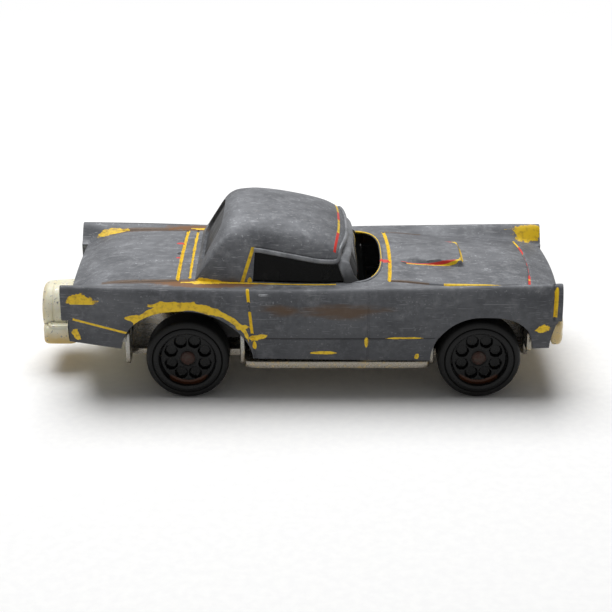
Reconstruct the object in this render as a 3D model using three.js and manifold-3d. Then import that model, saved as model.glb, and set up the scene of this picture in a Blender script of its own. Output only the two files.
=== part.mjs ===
import * as THREE from "three";
import { mergeVertices } from "three/addons/utils/BufferGeometryUtils.js";
import Module from "manifold-3d";

const wasm = await Module();
wasm.setup();

// Toy die-cast coupe, mm. +X is the front, +Y the car's left, +Z up, origin on the ground.
const tailX = -33.35;
const noseX = 36.7;
const lowerTailX = -32.3;
const deckRearX = -32.4;
const noseLipX = 36.2;
const frontCornerX = 35.5;
const bodyHalfWidth = 13.9;
const sideWall = 1.3;
const topSkin = 1.2;
const endWall = 1.5;
const assemblyGap = 0.3;

// Running gear
const wheelRadius = 5.9;
const wheelWidth = 4.2;
const wheelInset = 0.5;
const wheelFaceY = bodyHalfWidth - wheelInset;
const frontAxleX = 25.4;
const wheelbase = 41.3;
const rearAxleX = frontAxleX - wheelbase;
const axleRadius = 0.6;
const runningClearance = 0.06;
const axleHeadRadius = 1.05;
const axleHeadLength = 0.5;
const axleHeadPlay = 0.08;
const hubDishDepth = 1.2;
const hubDishRadius = 3.95;
const hubBossRadius = 1.5;
const hubBossLength = 0.5;
const tyreFaceRadius = 4.95;
const tyreChamferDepth = 0.6;
const hubHoleCount = 8;
const hubHoleRing = 2.57;
const hubHoleRadius = 0.72;
const hubHoleDepth = 0.7;
const tyreInnerEdge = 0.5;

// Heights of the fender tops, of the valley inside them and of the centre line,
// each as pairs of a share of the body's length from the tail and a height.
const fenderTop = [[0, 17.2], [0.12, 17], [0.36, 16.6], [0.5, 16.5], [0.65, 16.7], [0.83, 16.9], [1, 17.15]];
const valleyTop = [[0, 14.3], [0.055, 15.9], [0.1, 16.65], [0.2, 16.85], [0.35, 16.8], [0.5, 16.5],
  [0.655, 16.65], [0.75, 16.1], [0.88, 15.6], [0.94, 15.3], [1, 14.4]];
const centreTop = [[0, 14.8], [0.055, 16.4], [0.1, 17], [0.23, 17.3], [0.5, 17.2], [0.655, 17.2],
  [0.75, 16.9], [0.88, 16.4], [0.94, 15.9], [1, 14.6]];
const planShare = [[0, 0.962], [0.15, 0.99], [0.4, 1], [0.75, 1], [0.92, 0.988], [1, 0.962]];
const creaseHeight = [[0, 12.2], [0.12, 10.3], [0.3, 9.6], [0.72, 9.55], [0.9, 10.6], [1, 11.7]];
const valleyShare = 0.72;
const ridgeShare = 0.892;
const creaseStep = 0.22;
const sillTuck = 0.75;
const flankLean = 0.12;
const shoulderDrop = 4.6;

// Lower edges and wheel arches of the sides
const rearSkirtHeight = 8.8;
const rearSkirtFall = 1;
const sillRearHeight = 6.4;
const sillFrontHeight = 5.85;
const frontSkirtHeight = 7.8;
const finFootHeight = 12.1;
const rearArchReach = 3.45;
const rearArchRise = 1.96;
const rearArch = {
  back: wheelRadius + rearArchReach,
  front: wheelRadius + rearArchReach,
  rise: wheelRadius + rearArchRise,
  backPower: 2.5,
  frontPower: 1.85,
};
const frontArchBack = 1.1;
const frontArchReach = 1.55;
const frontArchRise = 0.97;
const frontArch = {
  back: wheelRadius + frontArchBack,
  front: wheelRadius + frontArchReach,
  rise: wheelRadius + frontArchRise,
  backPower: 2,
  frontPower: 3,
};
const finInnerY = 10.2;
const lampInnerY = 9.9;

// Hardtop
const roofSkin = 0.9;
const beltHeight = 16.2;
const cabinRearX = -14.7;
const cowlX = 11.8;
const roofLine = [[-14.7, 17.4], [-12.6, 21.2], [-10.7, 24.4], [-9, 25.3], [-6.2, 25.6], [-2.2, 25.2],
  [2.9, 23.9], [5.2, 22.8], [6.9, 21.5], [9, 19.3], [10.8, 17.4], [11.8, 16.4]];
const railLine = [[-14.7, 17], [-12.6, 19.4], [-10.5, 21.1], [-6.5, 21.5], [-3.5, 21], [0, 20.3], [2.8, 19.7],
  [5.2, 19.7], [6.9, 19], [9, 17.6], [10.8, 16.6], [11.8, 16]];
const railHalf = [[-14.7, 9.8], [-6, 9.5], [3, 9.45], [6.9, 9.2], [9, 8.8], [10.8, 7.2], [11.8, 4.5]];
const beltHalf = [[-14.7, 10.4], [-6, 10.65], [7.3, 10.6], [9, 10.4], [10.2, 9.8], [11, 8.6], [11.8, 5.2]];
const crownPower = 2.6;
const roofFootHeight = 14.6;
const sideWindow = [[-6.6, 16.5], [-6.3, 20.7], [-3.5, 20.2], [0, 19.5], [2.8, 18.9], [4.2, 18.95],
  [6.1, 16.5]];
const screenCut = [[7.7, 14], [7.7, 16.9], [5.7, 19.5], [5.5, 20.3], [6.4, 20.9], [8.4, 21.2], [14, 21.2],
  [14, 14]];
const rearWindow = [[-7.6, 17.9], [7.6, 17.9], [6, 23.4], [-6, 23.4]];
const rearWindowReach = -9.9;

// Bonnet scoop
const scoopRearX = 14.2;
const scoopFrontX = 23.4;
const scoopHalfWidth = 4;
const scoopRise = 0.95;

// Base moulding, bumpers and spare-wheel cover
const baseBottom = 4.45;
const baseThickness = 1.15;
const baseSideInset = 1;
const skirtPanBottom = 6.9;
const skirtPanThickness = 0.9;
const skirtPanHalfWidth = 9.4;
const wellWallThickness = 0.7;
const wellWallTop = 9.4;
const axleRibThickness = 2.6;
const axleRibInnerY = 5.4;
const wheelSideGap = 0.7;
const rearWellReach = 3;
const frontWellReach = 2.2;
const coverRadius = 3.9;
const coverTaper = 0.25;
const coverHeight = 8.6;
const coverRearX = -37.8;
const coverEdge = 0.9;
const blockHalfWidth = 5;
const blockRearX = -37.6;
const blockEdge = 0.8;
const blockTop = 7.3;
const bumperFrontX = 37.8;
const bumperBow = 0.5;
const bumperDepth = 1.3;
const bumperEndCurl = 0.5;
const bumperHalfWidth = 11.4;
const bumperBottom = 7.2;
const bumperTop = 11.2;
const grilleHalfWidth = 8.6;
const grilleBottom = 8.7;
const grilleTop = 12.9;
const grilleDepth = 1.6;
const grilleBarCount = 9;
const grilleBarWidth = 0.55;
const grillePlate = 0.6;

// Peened posts that hold the base to the body
const postRadius = 1.5;
const postHeadRadius = 2.1;
const postHeadThickness = 0.55;
const rearPostX = -27.8;
const frontPostX = 29.6;

// Glazing and interior
const glassThickness = 0.7;
const glassFoot = 15.9;
const screenInset = 0.65;
const tubRearX = -12.4;
const tubFrontX = 9.2;
const tubWheelGap = 0.9;
const tubHalfWidth = wheelFaceY - wheelWidth - tubWheelGap;
const tubBottom = 7.3;
const tubTop = 15.3;
const tubWall = 0.8;
const seatRearX = -9.2;
const seatFrontX = -2.6;
const seatHeight = 11.2;
const seatBackTop = 15.4;
const seatBackThickness = 1.8;
const seatSideGap = 0.4;
const seatMiddleGap = 0.7;
const seatHalfWidth = (tubHalfWidth - tubWall - seatSideGap - seatMiddleGap) / 2;
const seatCentreY = seatMiddleGap + seatHalfWidth;
const dashDepth = 2.2;
const dashTop = 15.1;
const steeringRadius = 2.3;
const steeringRim = 0.36;
const steeringColumn = 0.45;
const columnLength = 4.2;
const steeringTilt = 0.45;
const steeringReach = 1.6;
const steeringDrop = 1.3;
const lugClearance = 0.08;
const tongueThickness = 1;
const tongueLift = 0.6;

const bodyLength = noseX - tailX;
const cutMargin = 5;

// Smooth curve through the given pairs, held flat beyond both ends.
function curve(pairs) {
  const slope = (i) => {
    const a = pairs[Math.max(i - 1, 0)];
    const b = pairs[Math.min(i + 1, pairs.length - 1)];
    return (b[1] - a[1]) / (b[0] - a[0]);
  };
  return (s) => {
    if (s <= pairs[0][0]) return pairs[0][1];
    const last = pairs.length - 1;
    if (s >= pairs[last][0]) return pairs[last][1];
    let i = 0;
    while (pairs[i + 1][0] < s) i += 1;
    const h = pairs[i + 1][0] - pairs[i][0];
    const t = (s - pairs[i][0]) / h;
    const rise = pairs[i + 1][1] - pairs[i][1];
    const blend = t * t * (3 - 2 * t);
    return pairs[i][1] + rise * blend + h * t * (1 - t) * ((1 - t) * slope(i) - t * slope(i + 1));
  };
}

const alongBody = (pairs) => {
  const shape = curve(pairs);
  return (x) => shape((x - tailX) / bodyLength);
};
const fenderZ = alongBody(fenderTop);
const valleyZ = alongBody(valleyTop);
const centreZ = alongBody(centreTop);
const planHalf = (x) => bodyHalfWidth * alongBody(planShare)(x);
const creaseZ = alongBody(creaseHeight);
const roofZ = curve(roofLine);
const railZ = curve(railLine);
const railY = curve(railHalf);
const beltY = curve(beltHalf);

// Height of one wheel arch's edge above the axle, zero outside the arch.
function archRise(arch, offset) {
  const reach = offset < 0 ? arch.back : arch.front;
  const power = offset < 0 ? arch.backPower : arch.frontPower;
  const share = Math.min(Math.abs(offset) / reach, 1);
  return arch.rise * Math.pow(1 - Math.pow(share, power), 1 / power);
}

function solid(geometry) {
  const plain = geometry.index ? geometry.toNonIndexed() : geometry.clone();
  plain.deleteAttribute("normal");
  plain.deleteAttribute("uv");
  const merged = mergeVertices(plain, 1e-4);
  return new wasm.Manifold(new wasm.Mesh({
    numProp: 3,
    vertProperties: new Float32Array(merged.attributes.position.array),
    triVerts: new Uint32Array(merged.index.array),
  }));
}

function geometryOf(shape) {
  const mesh = shape.getMesh();
  const geometry = new THREE.BufferGeometry();
  geometry.setAttribute("position", new THREE.BufferAttribute(new Float32Array(mesh.vertProperties), 3));
  geometry.setIndex(new THREE.BufferAttribute(new Uint32Array(mesh.triVerts), 1));
  const faceted = geometry.toNonIndexed();
  faceted.computeVertexNormals();
  return faceted;
}

// Solid through closed sections that all have the same number of points, capped at both ends.
function loft(sections) {
  const count = sections[0].length;
  const points = sections.flat();
  const index = [];
  for (let s = 0; s + 1 < sections.length; s += 1) {
    for (let i = 0; i < count; i += 1) {
      const a = s * count + i;
      const b = s * count + ((i + 1) % count);
      index.push(a, b, a + count, b, b + count, a + count);
    }
  }
  const flat = sections[0].map((p) => new THREE.Vector2(p.y, p.z));
  const end = sections[sections.length - 1].map((p) => new THREE.Vector2(p.y, p.z));
  const last = (sections.length - 1) * count;
  for (const [a, b, c] of THREE.ShapeUtils.triangulateShape(flat, [])) {
    index.push(c, b, a);
  }
  for (const [a, b, c] of THREE.ShapeUtils.triangulateShape(end, [])) {
    index.push(last + a, last + b, last + c);
  }
  const geometry = new THREE.BufferGeometry().setFromPoints(points);
  geometry.setIndex(index);
  return solid(geometry);
}

// Whole section from a half one that runs from the bottom edge up to the centre of the top.
function mirrored(x, half) {
  const right = half.map(([y, z]) => new THREE.Vector3(x, y, z));
  const left = half.slice().reverse().filter(([y]) => y > 0).map(([y, z]) => new THREE.Vector3(x, -y, z));
  return right.concat(left);
}

function stations(from, to, count) {
  return Array.from({ length: count }, (_, i) => from + ((to - from) * i) / (count - 1));
}

function polygon(pairs) {
  return new THREE.Shape(pairs.map(([a, b]) => new THREE.Vector2(a, b)));
}

// Outline in X and Z, carried across the car.
function across(pairs, halfWidth) {
  const made = new THREE.ExtrudeGeometry(polygon(pairs), { depth: 2 * halfWidth, bevelEnabled: false });
  return solid(made.translate(0, 0, -halfWidth).rotateX(Math.PI / 2));
}

// Outline in Y and Z, carried along the car.
function along(pairs, fromX, toX) {
  const made = new THREE.ExtrudeGeometry(polygon(pairs), { depth: toX - fromX, bevelEnabled: false });
  const turn = new THREE.Matrix4().makeBasis(
    new THREE.Vector3(0, 1, 0), new THREE.Vector3(0, 0, 1), new THREE.Vector3(1, 0, 0));
  return solid(made.applyMatrix4(turn).translate(fromX, 0, 0));
}

// Outline in X and Y, carried upward.
function upward(pairs, fromZ, toZ) {
  const made = new THREE.ExtrudeGeometry(polygon(pairs), { depth: toZ - fromZ, bevelEnabled: false });
  return solid(made.translate(0, 0, fromZ));
}

function box(x0, x1, y0, y1, z0, z1) {
  const made = new THREE.BoxGeometry(x1 - x0, y1 - y0, z1 - z0);
  return solid(made.translate((x0 + x1) / 2, (y0 + y1) / 2, (z0 + z1) / 2));
}

function bothSides(shape) {
  return shape.add(shape.mirror([0, 1, 0]));
}

function cylinderUp(x, y, radius, z0, z1, sides = 24) {
  const made = new THREE.CylinderGeometry(radius, radius, z1 - z0, sides).rotateX(Math.PI / 2);
  return solid(made.translate(x, y, (z0 + z1) / 2));
}

function cylinderAcross(x, z, radius, y0, y1, sides = 32) {
  const made = new THREE.CylinderGeometry(radius, radius, y1 - y0, sides);
  return solid(made.translate(x, (y0 + y1) / 2, z));
}

// Outer half section of the body: sill, side, crease, shoulder, fender ridge, valley and crown.
function bodyHalf(x, bottom) {
  const half = planHalf(x);
  const ridge = ridgeShare * half;
  const valley = valleyShare * half;
  const top = fenderZ(x);
  const low = valleyZ(x);
  const crown = centreZ(x) - low;
  const crease = creaseZ(x);
  const shoulder = half - ridge;
  const points = [
    [half - sillTuck, bottom],
    [half - creaseStep - flankLean, crease - 0.15],
    [half - flankLean, crease + 0.1],
  ];
  for (const [out, drop] of [[1, 1], [0.97, 0.7], [0.85, 0.41], [0.6, 0.2], [0.25, 0.05], [0, 0]]) {
    points.push([ridge + shoulder * out, top - shoulderDrop * drop]);
  }
  for (const share of [0.8, 0.55, 0.3, 0]) {
    const soft = share * share * (3 - 2 * share);
    points.push([valley + (ridge - valley) * share, low + (top - low) * soft]);
  }
  for (const share of [0.75, 0.5, 0.25, 0]) points.push([valley * share, low + crown * (1 - share * share)]);
  return points;
}

function bodyCavityHalf(x, bottom) {
  const half = planHalf(x) - sideWall;
  const valley = valleyShare * planHalf(x);
  const low = valleyZ(x) - topSkin;
  const crown = centreZ(x) - topSkin - low;
  const points = [
    [half - sillTuck, bottom],
    [half - creaseStep - flankLean, creaseZ(x)],
    [half - 0.1, fenderZ(x) - shoulderDrop],
    [half - 0.6, Math.min(fenderZ(x) - shoulderDrop * 0.6, low)],
    [valley, low],
  ];
  for (const share of [0.66, 0.33, 0]) points.push([valley * share, low + crown * (1 - share * share)]);
  return points;
}

// Lower edge of the sides from tail to nose, with both arches.
function lowerEdge(x) {
  const skirtLength = rearAxleX - rearArch.back - lowerTailX;
  if (x < rearAxleX) return rearSkirtHeight - rearSkirtFall * ((x - lowerTailX) / skirtLength);
  if (x > frontAxleX) return frontSkirtHeight;
  return sillRearHeight + (sillFrontHeight - sillRearHeight) * ((x - rearAxleX) / wheelbase);
}

function archOutline(arch, axleX) {
  const steps = Array.from({ length: 25 }, (_, i) => -Math.cos((Math.PI * i) / 24));
  return steps.map((s) => {
    const offset = s * (s < 0 ? arch.back : arch.front);
    return [axleX + offset, wheelRadius + archRise(arch, offset)];
  });
}

function arched(arch, axleX) {
  const feet = [[axleX + arch.front, 0], [axleX - arch.back, 0]];
  return across(archOutline(arch, axleX).concat(feet).reverse(), bodyHalfWidth + cutMargin);
}

// Outline in X and Z of the space ahead of the lower front, under the headlamps.
function frontFace(gap) {
  const far = noseX + cutMargin;
  return [
    [frontCornerX + gap, 0],
    [far, 0],
    [far, finFootHeight - gap],
    [noseX - 0.2 + gap, finFootHeight - 0.3 - gap],
    [frontCornerX + 0.3 + gap, finFootHeight - 1.6 - gap],
  ];
}

function lowerBody() {
  const bottom = sillFrontHeight - 1;
  const outer = loft(stations(tailX, noseX, 37).map((x) => mirrored(x, bodyHalf(x, bottom))));
  const cavity = loft(stations(lowerTailX + endWall, frontCornerX - endWall, 21)
    .map((x) => mirrored(x, bodyCavityHalf(x, bottom - cutMargin))));
  const rearArchBack = rearAxleX - rearArch.back;
  const wide = bodyHalfWidth + cutMargin;
  const behind = [
    [tailX - cutMargin, -cutMargin],
    [lowerTailX, -cutMargin],
    [lowerTailX, finFootHeight],
    [tailX - cutMargin, finFootHeight],
  ];
  const underSkirt = [
    [lowerTailX - cutMargin, -cutMargin],
    [rearAxleX, -cutMargin],
    [rearAxleX, lowerEdge(rearArchBack)],
    [rearArchBack, lowerEdge(rearArchBack)],
    [lowerTailX, rearSkirtHeight],
    [lowerTailX - cutMargin, rearSkirtHeight],
  ];
  const underSill = [
    [rearAxleX, -cutMargin],
    [frontAxleX, -cutMargin],
    [frontAxleX, sillFrontHeight],
    [rearAxleX, sillRearHeight],
  ];
  const underNose = [
    [frontAxleX, -cutMargin],
    [noseX + cutMargin, -cutMargin],
    [noseX + cutMargin, frontSkirtHeight],
    [frontAxleX, frontSkirtHeight],
  ];
  const cuts = [behind, underSkirt, underSill, underNose, frontFace(0)].map((outline) => across(outline, wide));
  const rearGap = box(tailX - cutMargin, deckRearX, -finInnerY, finInnerY, 0, fenderTop[0][1] + cutMargin);
  const noseGap = box(noseLipX, noseX + cutMargin, -lampInnerY, lampInnerY, 0, fenderTop[0][1] + cutMargin);
  const grille = box(frontCornerX - grilleDepth, noseX + cutMargin, -grilleHalfWidth - assemblyGap,
    grilleHalfWidth + assemblyGap, 0, grilleTop + assemblyGap);
  const cabin = upward(cabinOutline(roofSkin - 0.4), beltHeight - cutMargin, beltHeight + cutMargin);
  cuts.push(cavity, arched(rearArch, rearAxleX), arched(frontArch, frontAxleX), rearGap, noseGap, grille, cabin);
  return cuts.reduce((whole, cut) => whole.subtract(cut), outer);
}

// Half section of the hardtop: straight tuck from belt to rail, then a boxy crown.
function topHalf(x, inset, foot) {
  const wide = beltY(x) - inset;
  const rail = railY(x) - inset;
  const railTop = Math.max(railZ(x) - inset * 0.6, foot + 0.3);
  const rise = Math.max(roofZ(x) - inset - railTop, 0.05);
  const points = [[wide, foot], [wide - 0.02, Math.max(Math.min(beltHeight, railTop - 0.15), foot + 0.1)]];
  for (const angle of [0, 15, 30, 45, 60, 75, 90]) {
    const turn = (angle * Math.PI) / 180;
    const out = Math.pow(Math.cos(turn), 2 / crownPower);
    const up = Math.pow(Math.sin(turn), 2 / crownPower);
    points.push([angle === 90 ? 0 : rail * out, railTop + rise * up]);
  }
  return points;
}

function cabinOutline(inset) {
  const side = stations(cabinRearX + inset, cowlX - inset, 22).map((x) => [x, beltY(x) - inset]);
  return side.concat(side.slice().reverse().map(([x, y]) => [x, -y])).reverse();
}

function topSolid(inset, foot, count) {
  const rows = stations(cabinRearX + inset * 1.3, cowlX - inset * 1.3, count);
  return loft(rows.map((x) => mirrored(x, topHalf(x, inset, foot))));
}

function hardtop() {
  const shell = topSolid(0, roofFootHeight, 25).subtract(topSolid(roofSkin, roofFootHeight - cutMargin, 23));
  const wide = bodyHalfWidth + cutMargin;
  const rear = along(rearWindow, cabinRearX - cutMargin, rearWindowReach);
  const sides = across(sideWindow.slice().reverse(), wide);
  const front = across(screenCut.slice().reverse(), wide);
  return shell.subtract(sides).subtract(front).subtract(rear);
}

function scoop() {
  return loft(stations(scoopRearX, scoopFrontX, 7).map((x) => {
    const share = (x - scoopRearX) / (scoopFrontX - scoopRearX);
    const wide = scoopHalfWidth * (0.7 + 0.3 * Math.sqrt(share));
    const rise = scoopRise * Math.sqrt(share) + 0.02;
    const foot = valleyZ(x) - 0.6;
    const valley = valleyShare * bodyHalfWidth;
    const skin = (y) => valleyZ(x) + (centreZ(x) - valleyZ(x)) * (1 - (y / valley) ** 2);
    return mirrored(x, [
      [wide, foot],
      [wide, skin(wide) + 0.02],
      [wide * 0.9, skin(wide) + rise * 0.75],
      [wide * 0.7, skin(wide * 0.7) + rise],
      [0, skin(0) + rise],
    ]);
  }));
}

function post(x, headBottom) {
  const top = valleyZ(x);
  return cylinderUp(x, 0, postRadius, headBottom, top).add(
    cylinderUp(x, 0, postHeadRadius, headBottom, headBottom + postHeadThickness));
}

const rearPostFoot = skirtPanBottom + 0.1;
const frontPostFoot = baseBottom + 0.1;

function bodyCasting() {
  const posts = post(rearPostX, rearPostFoot).add(post(frontPostX, frontPostFoot));
  return lowerBody().add(hardtop()).add(scoop()).add(posts);
}

const innerWheelY = wheelFaceY - wheelWidth;
const baseTop = baseBottom + baseThickness;
const baseHalfWidth = bodyHalfWidth - baseSideInset;
const wellEdgeY = innerWheelY - wheelSideGap;
const wellLinerY = bodyHalfWidth - sideWall - sillTuck - assemblyGap;

function roundedBox(x0, x1, halfWidth, z0, z1, edge) {
  const rings = [[x0, edge * 0.6], [x0 + edge * 0.5, edge * 0.15], [x0 + edge, 0], [x1, 0]];
  return loft(rings.map(([x, cut]) => mirrored(x, [
    [halfWidth - cut - edge, z0 + cut],
    [halfWidth - cut, z0 + edge],
    [halfWidth - cut, z1 - edge],
    [halfWidth - cut - edge, z1 - cut],
    [0, z1 - cut],
  ])));
}

function spareCover() {
  const front = lowerTailX - assemblyGap;
  const profile = [
    [0, coverRearX],
    [coverRadius - coverEdge * 2, coverRearX],
    [coverRadius - coverEdge, coverRearX + 0.12],
    [coverRadius - coverEdge * 0.35, coverRearX + 0.4],
    [coverRadius, coverRearX + coverEdge],
    [coverRadius + coverTaper, front],
    [0, front],
  ];
  const lathe = new THREE.LatheGeometry(profile.map(([r, s]) => new THREE.Vector2(r, s)), 40);
  return solid(lathe.rotateZ(-Math.PI / 2).translate(0, 0, coverHeight));
}

function frontBumper() {
  const rim = stations(-bumperHalfWidth, bumperHalfWidth, 13).map((y) => {
    const share = Math.abs(y) / bumperHalfWidth;
    return [bumperFrontX - bumperBow * share ** 2 - bumperEndCurl * share ** 8, y];
  });
  const back = rim.slice().reverse().map(([x, y]) => [x - bumperDepth, y]);
  const bar = upward(rim.concat(back), bumperBottom, bumperTop);
  const clear = across(frontFace(assemblyGap), bumperHalfWidth + 1);
  const backX = bumperFrontX - bumperDepth - 1.4;
  const roll = across([
    [backX, bumperBottom - 0.1],
    [bumperFrontX - 0.7, bumperBottom - 0.1],
    [bumperFrontX + 0.05, bumperBottom + 0.7],
    [bumperFrontX + 0.05, bumperTop - 0.9],
    [bumperFrontX - 0.6, bumperTop + 0.1],
    [backX, bumperTop + 0.1],
  ], bumperHalfWidth + 1);
  return bar.intersect(clear).intersect(roll);
}

function grilleInsert() {
  const back = frontCornerX - grilleDepth + assemblyGap;
  const plate = box(back, back + grillePlate, -grilleHalfWidth, grilleHalfWidth, bumperBottom, grilleTop);
  const step = (2 * grilleHalfWidth) / grilleBarCount;
  const bars = Array.from({ length: grilleBarCount }, (_, i) => {
    const y = -grilleHalfWidth + step * (i + 0.5);
    const edge = grilleBarWidth / 2;
    return box(back + 0.3, back + 1.1, y - edge, y + edge, grilleBottom, grilleTop - 0.3);
  });
  const panRear = frontAxleX + frontArch.front - wellWallThickness;
  const pan = box(panRear, bumperFrontX - bumperDepth, -grilleHalfWidth, grilleHalfWidth,
    skirtPanBottom, skirtPanBottom + skirtPanThickness);
  return bars.reduce((whole, bar) => whole.add(bar), plate.add(pan));
}

const rearWellBack = rearAxleX - Math.min(rearArch.back, wheelRadius + rearWellReach);
const frontWellFront = frontAxleX + Math.min(frontArch.front, wheelRadius + frontWellReach);

function wheelWell(arch, axleX) {
  const back = axleX - Math.min(arch.back, wheelRadius + rearWellReach);
  const front = axleX + Math.min(arch.front, wheelRadius + frontWellReach);
  const innerY = tubHalfWidth + assemblyGap;
  const notch = box(back + wellWallThickness, front - wellWallThickness, wellEdgeY, bodyHalfWidth + cutMargin,
    0, wellWallTop + 1);
  const backWall = box(back, back + wellWallThickness, innerY, wellLinerY, baseBottom, wellWallTop);
  const frontWall = box(front - wellWallThickness, front, innerY, wellLinerY, baseBottom, wellWallTop);
  const ribTop = wheelRadius + axleRadius + 0.9;
  const halfRib = axleRibThickness / 2;
  const rib = box(axleX - halfRib, axleX + halfRib, axleRibInnerY, wellEdgeY, baseBottom, ribTop);
  const slotRadius = axleRadius + runningClearance;
  const slotEnd = wellEdgeY + 1;
  const slot = cylinderAcross(axleX, wheelRadius, slotRadius, -slotEnd, slotEnd)
    .add(box(axleX - slotRadius, axleX + slotRadius, -slotEnd, slotEnd, wheelRadius, wellWallTop + 2));
  return { notch: bothSides(notch), walls: bothSides(backWall.add(frontWall)), rib: bothSides(rib), slot };
}

function baseMoulding() {
  const panTop = skirtPanBottom + skirtPanThickness;
  const rearWall = rearWellBack + wellWallThickness;
  const frontWall = frontWellFront - wellWallThickness;
  const tailGapX = lowerTailX - assemblyGap;
  const pieces = [
    box(rearWellBack, frontWellFront, -baseHalfWidth, baseHalfWidth, baseBottom, baseTop),
    box(rearWellBack, rearWall, -wellLinerY, wellLinerY, baseBottom, panTop),
    box(frontWall, frontWellFront, -wellLinerY, wellLinerY, baseBottom, panTop),
    box(tailGapX, rearWall, -skirtPanHalfWidth, skirtPanHalfWidth, skirtPanBottom, panTop),
    box(blockRearX + 1, lowerTailX, -blockHalfWidth, blockHalfWidth, skirtPanBottom, blockTop - 0.1),
    roundedBox(blockRearX, tailGapX, blockHalfWidth, baseBottom, blockTop, blockEdge),
    spareCover(),
    frontBumper(),
    grilleInsert(),
  ];
  let whole = pieces.reduce((sum, piece) => sum.add(piece));
  for (const well of [wheelWell(rearArch, rearAxleX), wheelWell(frontArch, frontAxleX)]) {
    whole = whole.subtract(well.notch).add(well.walls).add(well.rib).subtract(well.slot);
  }
  for (const [x, foot] of [[rearPostX, rearPostFoot], [frontPostX, frontPostFoot]]) {
    const shank = cylinderUp(x, 0, postRadius + assemblyGap, 0, wellWallTop + 3);
    const head = cylinderUp(x, 0, postHeadRadius + assemblyGap, 0, foot + postHeadThickness + 0.1);
    whole = whole.subtract(shank).subtract(head);
  }
  return whole;
}

// One clear moulding under the roof; its screen part stands further out than the rest.
function glassInset(x) {
  const inner = roofSkin + assemblyGap;
  const share = Math.min(Math.max((x - 7.9) / 1.6, 0), 1);
  return inner + (screenInset + assemblyGap - inner) * share * share * (3 - 2 * share);
}

function glassSolid(extra, foot, count) {
  const from = cabinRearX + (roofSkin + assemblyGap + extra) * 1.3;
  const to = cowlX - (screenInset + assemblyGap + extra) * 1.3;
  return loft(stations(from, to, count).map((x) => mirrored(x, topHalf(x, glassInset(x) + extra, foot))));
}

function windowInsert() {
  return glassSolid(0, glassFoot, 25).subtract(glassSolid(glassThickness, glassFoot - cutMargin, 23));
}

function tongue(fromX, toX, axleX) {
  const rib = axleRibThickness / 2 - 0.5;
  const lugBottom = wheelRadius + axleRadius + lugClearance;
  const half = axleRibInnerY - assemblyGap;
  const plateBottom = tubBottom + tongueLift;
  const plate = box(fromX, toX, -half, half, plateBottom, plateBottom + tongueThickness);
  const lug = box(axleX - rib, axleX + rib, -half, half, lugBottom, tubBottom + 1);
  return plate.add(lug);
}

function steeringWheel() {
  const rim = new THREE.TorusGeometry(steeringRadius, steeringRim, 8, 28).rotateY(Math.PI / 2);
  const column = new THREE.CylinderGeometry(steeringColumn, steeringColumn, columnLength, 14);
  column.rotateZ(Math.PI / 2).translate(columnLength / 2 - steeringRim, 0, 0);
  const spoke = new THREE.BoxGeometry(steeringRim, 2 * steeringRadius, 2 * steeringRim);
  const x = tubFrontX - dashDepth - tubWall - steeringReach;
  const z = dashTop - steeringDrop;
  const place = (piece) => solid(piece.rotateY(steeringTilt).translate(x, seatCentreY, z));
  return place(rim).add(place(column)).add(place(spoke));
}

function seat(y) {
  const backFront = seatRearX + seatBackThickness;
  const back = across([
    [seatRearX, tubBottom],
    [backFront + 0.7, tubBottom],
    [backFront, seatBackTop - 0.6],
    [backFront - 0.6, seatBackTop],
    [seatRearX - 0.1, seatBackTop],
    [seatRearX - 0.4, seatBackTop - 0.5],
  ], seatHalfWidth);
  const cushion = across([
    [seatRearX + 0.5, tubBottom],
    [seatFrontX, tubBottom],
    [seatFrontX, seatHeight - 0.7],
    [seatFrontX - 0.7, seatHeight],
    [seatRearX + 0.5, seatHeight - 0.5],
  ], seatHalfWidth);
  return back.add(cushion).translate([0, y, 0]);
}

function interiorTub() {
  const innerHalf = tubHalfWidth - tubWall;
  const innerFront = tubFrontX - tubWall;
  const hollow = box(tubRearX + tubWall, innerFront, -innerHalf, innerHalf, tubBottom + tubWall, tubTop + 1);
  const shell = box(tubRearX, tubFrontX, -tubHalfWidth, tubHalfWidth, tubBottom, tubTop).subtract(hollow);
  const dash = across([
    [innerFront - dashDepth, dashTop - 2.4],
    [innerFront + 0.1, dashTop - 3.2],
    [innerFront + 0.1, dashTop],
    [innerFront - dashDepth + 0.8, dashTop],
  ], tubHalfWidth - tubWall / 2);
  const rearTongue = tongue(rearAxleX - 1, tubRearX + 1, rearAxleX);
  const frontTongue = tongue(tubFrontX - 1, frontAxleX + 1, frontAxleX);
  const seats = seat(seatCentreY).add(seat(-seatCentreY));
  return shell.add(seats).add(dash).add(steeringWheel()).add(rearTongue).add(frontTongue);
}

function lathed(profile, sides) {
  return solid(new THREE.LatheGeometry(profile.map(([r, y]) => new THREE.Vector2(r, y)), sides));
}

const hubFaceY = wheelFaceY - hubDishDepth;

// Wheel on the +Y side: tyre and hub in one moulding, dished face outward.
function wheel() {
  const bore = axleRadius + runningClearance;
  const bossY = innerWheelY - hubBossLength;
  const profile = [
    [bore, bossY],
    [hubBossRadius, bossY],
    [hubBossRadius, innerWheelY],
    [wheelRadius - tyreInnerEdge, innerWheelY],
    [wheelRadius, innerWheelY + tyreInnerEdge],
    [wheelRadius, wheelFaceY - tyreChamferDepth],
    [wheelRadius - 0.35, wheelFaceY - 0.2],
    [tyreFaceRadius, wheelFaceY],
    [hubDishRadius + 0.2, wheelFaceY - 0.1],
    [hubDishRadius, wheelFaceY - 0.3],
    [hubDishRadius - 0.3, hubFaceY],
    [bore, hubFaceY],
    [bore, bossY],
  ];
  let made = lathed(profile, 40);
  for (let i = 0; i < hubHoleCount; i += 1) {
    const turn = (2 * Math.PI * i) / hubHoleCount;
    const x = hubHoleRing * Math.cos(turn);
    const z = hubHoleRing * Math.sin(turn);
    made = made.subtract(cylinderAcross(x, z, hubHoleRadius, hubFaceY - hubHoleDepth, hubFaceY + 1, 14));
  }
  return made.translate([0, 0, wheelRadius]);
}

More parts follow.
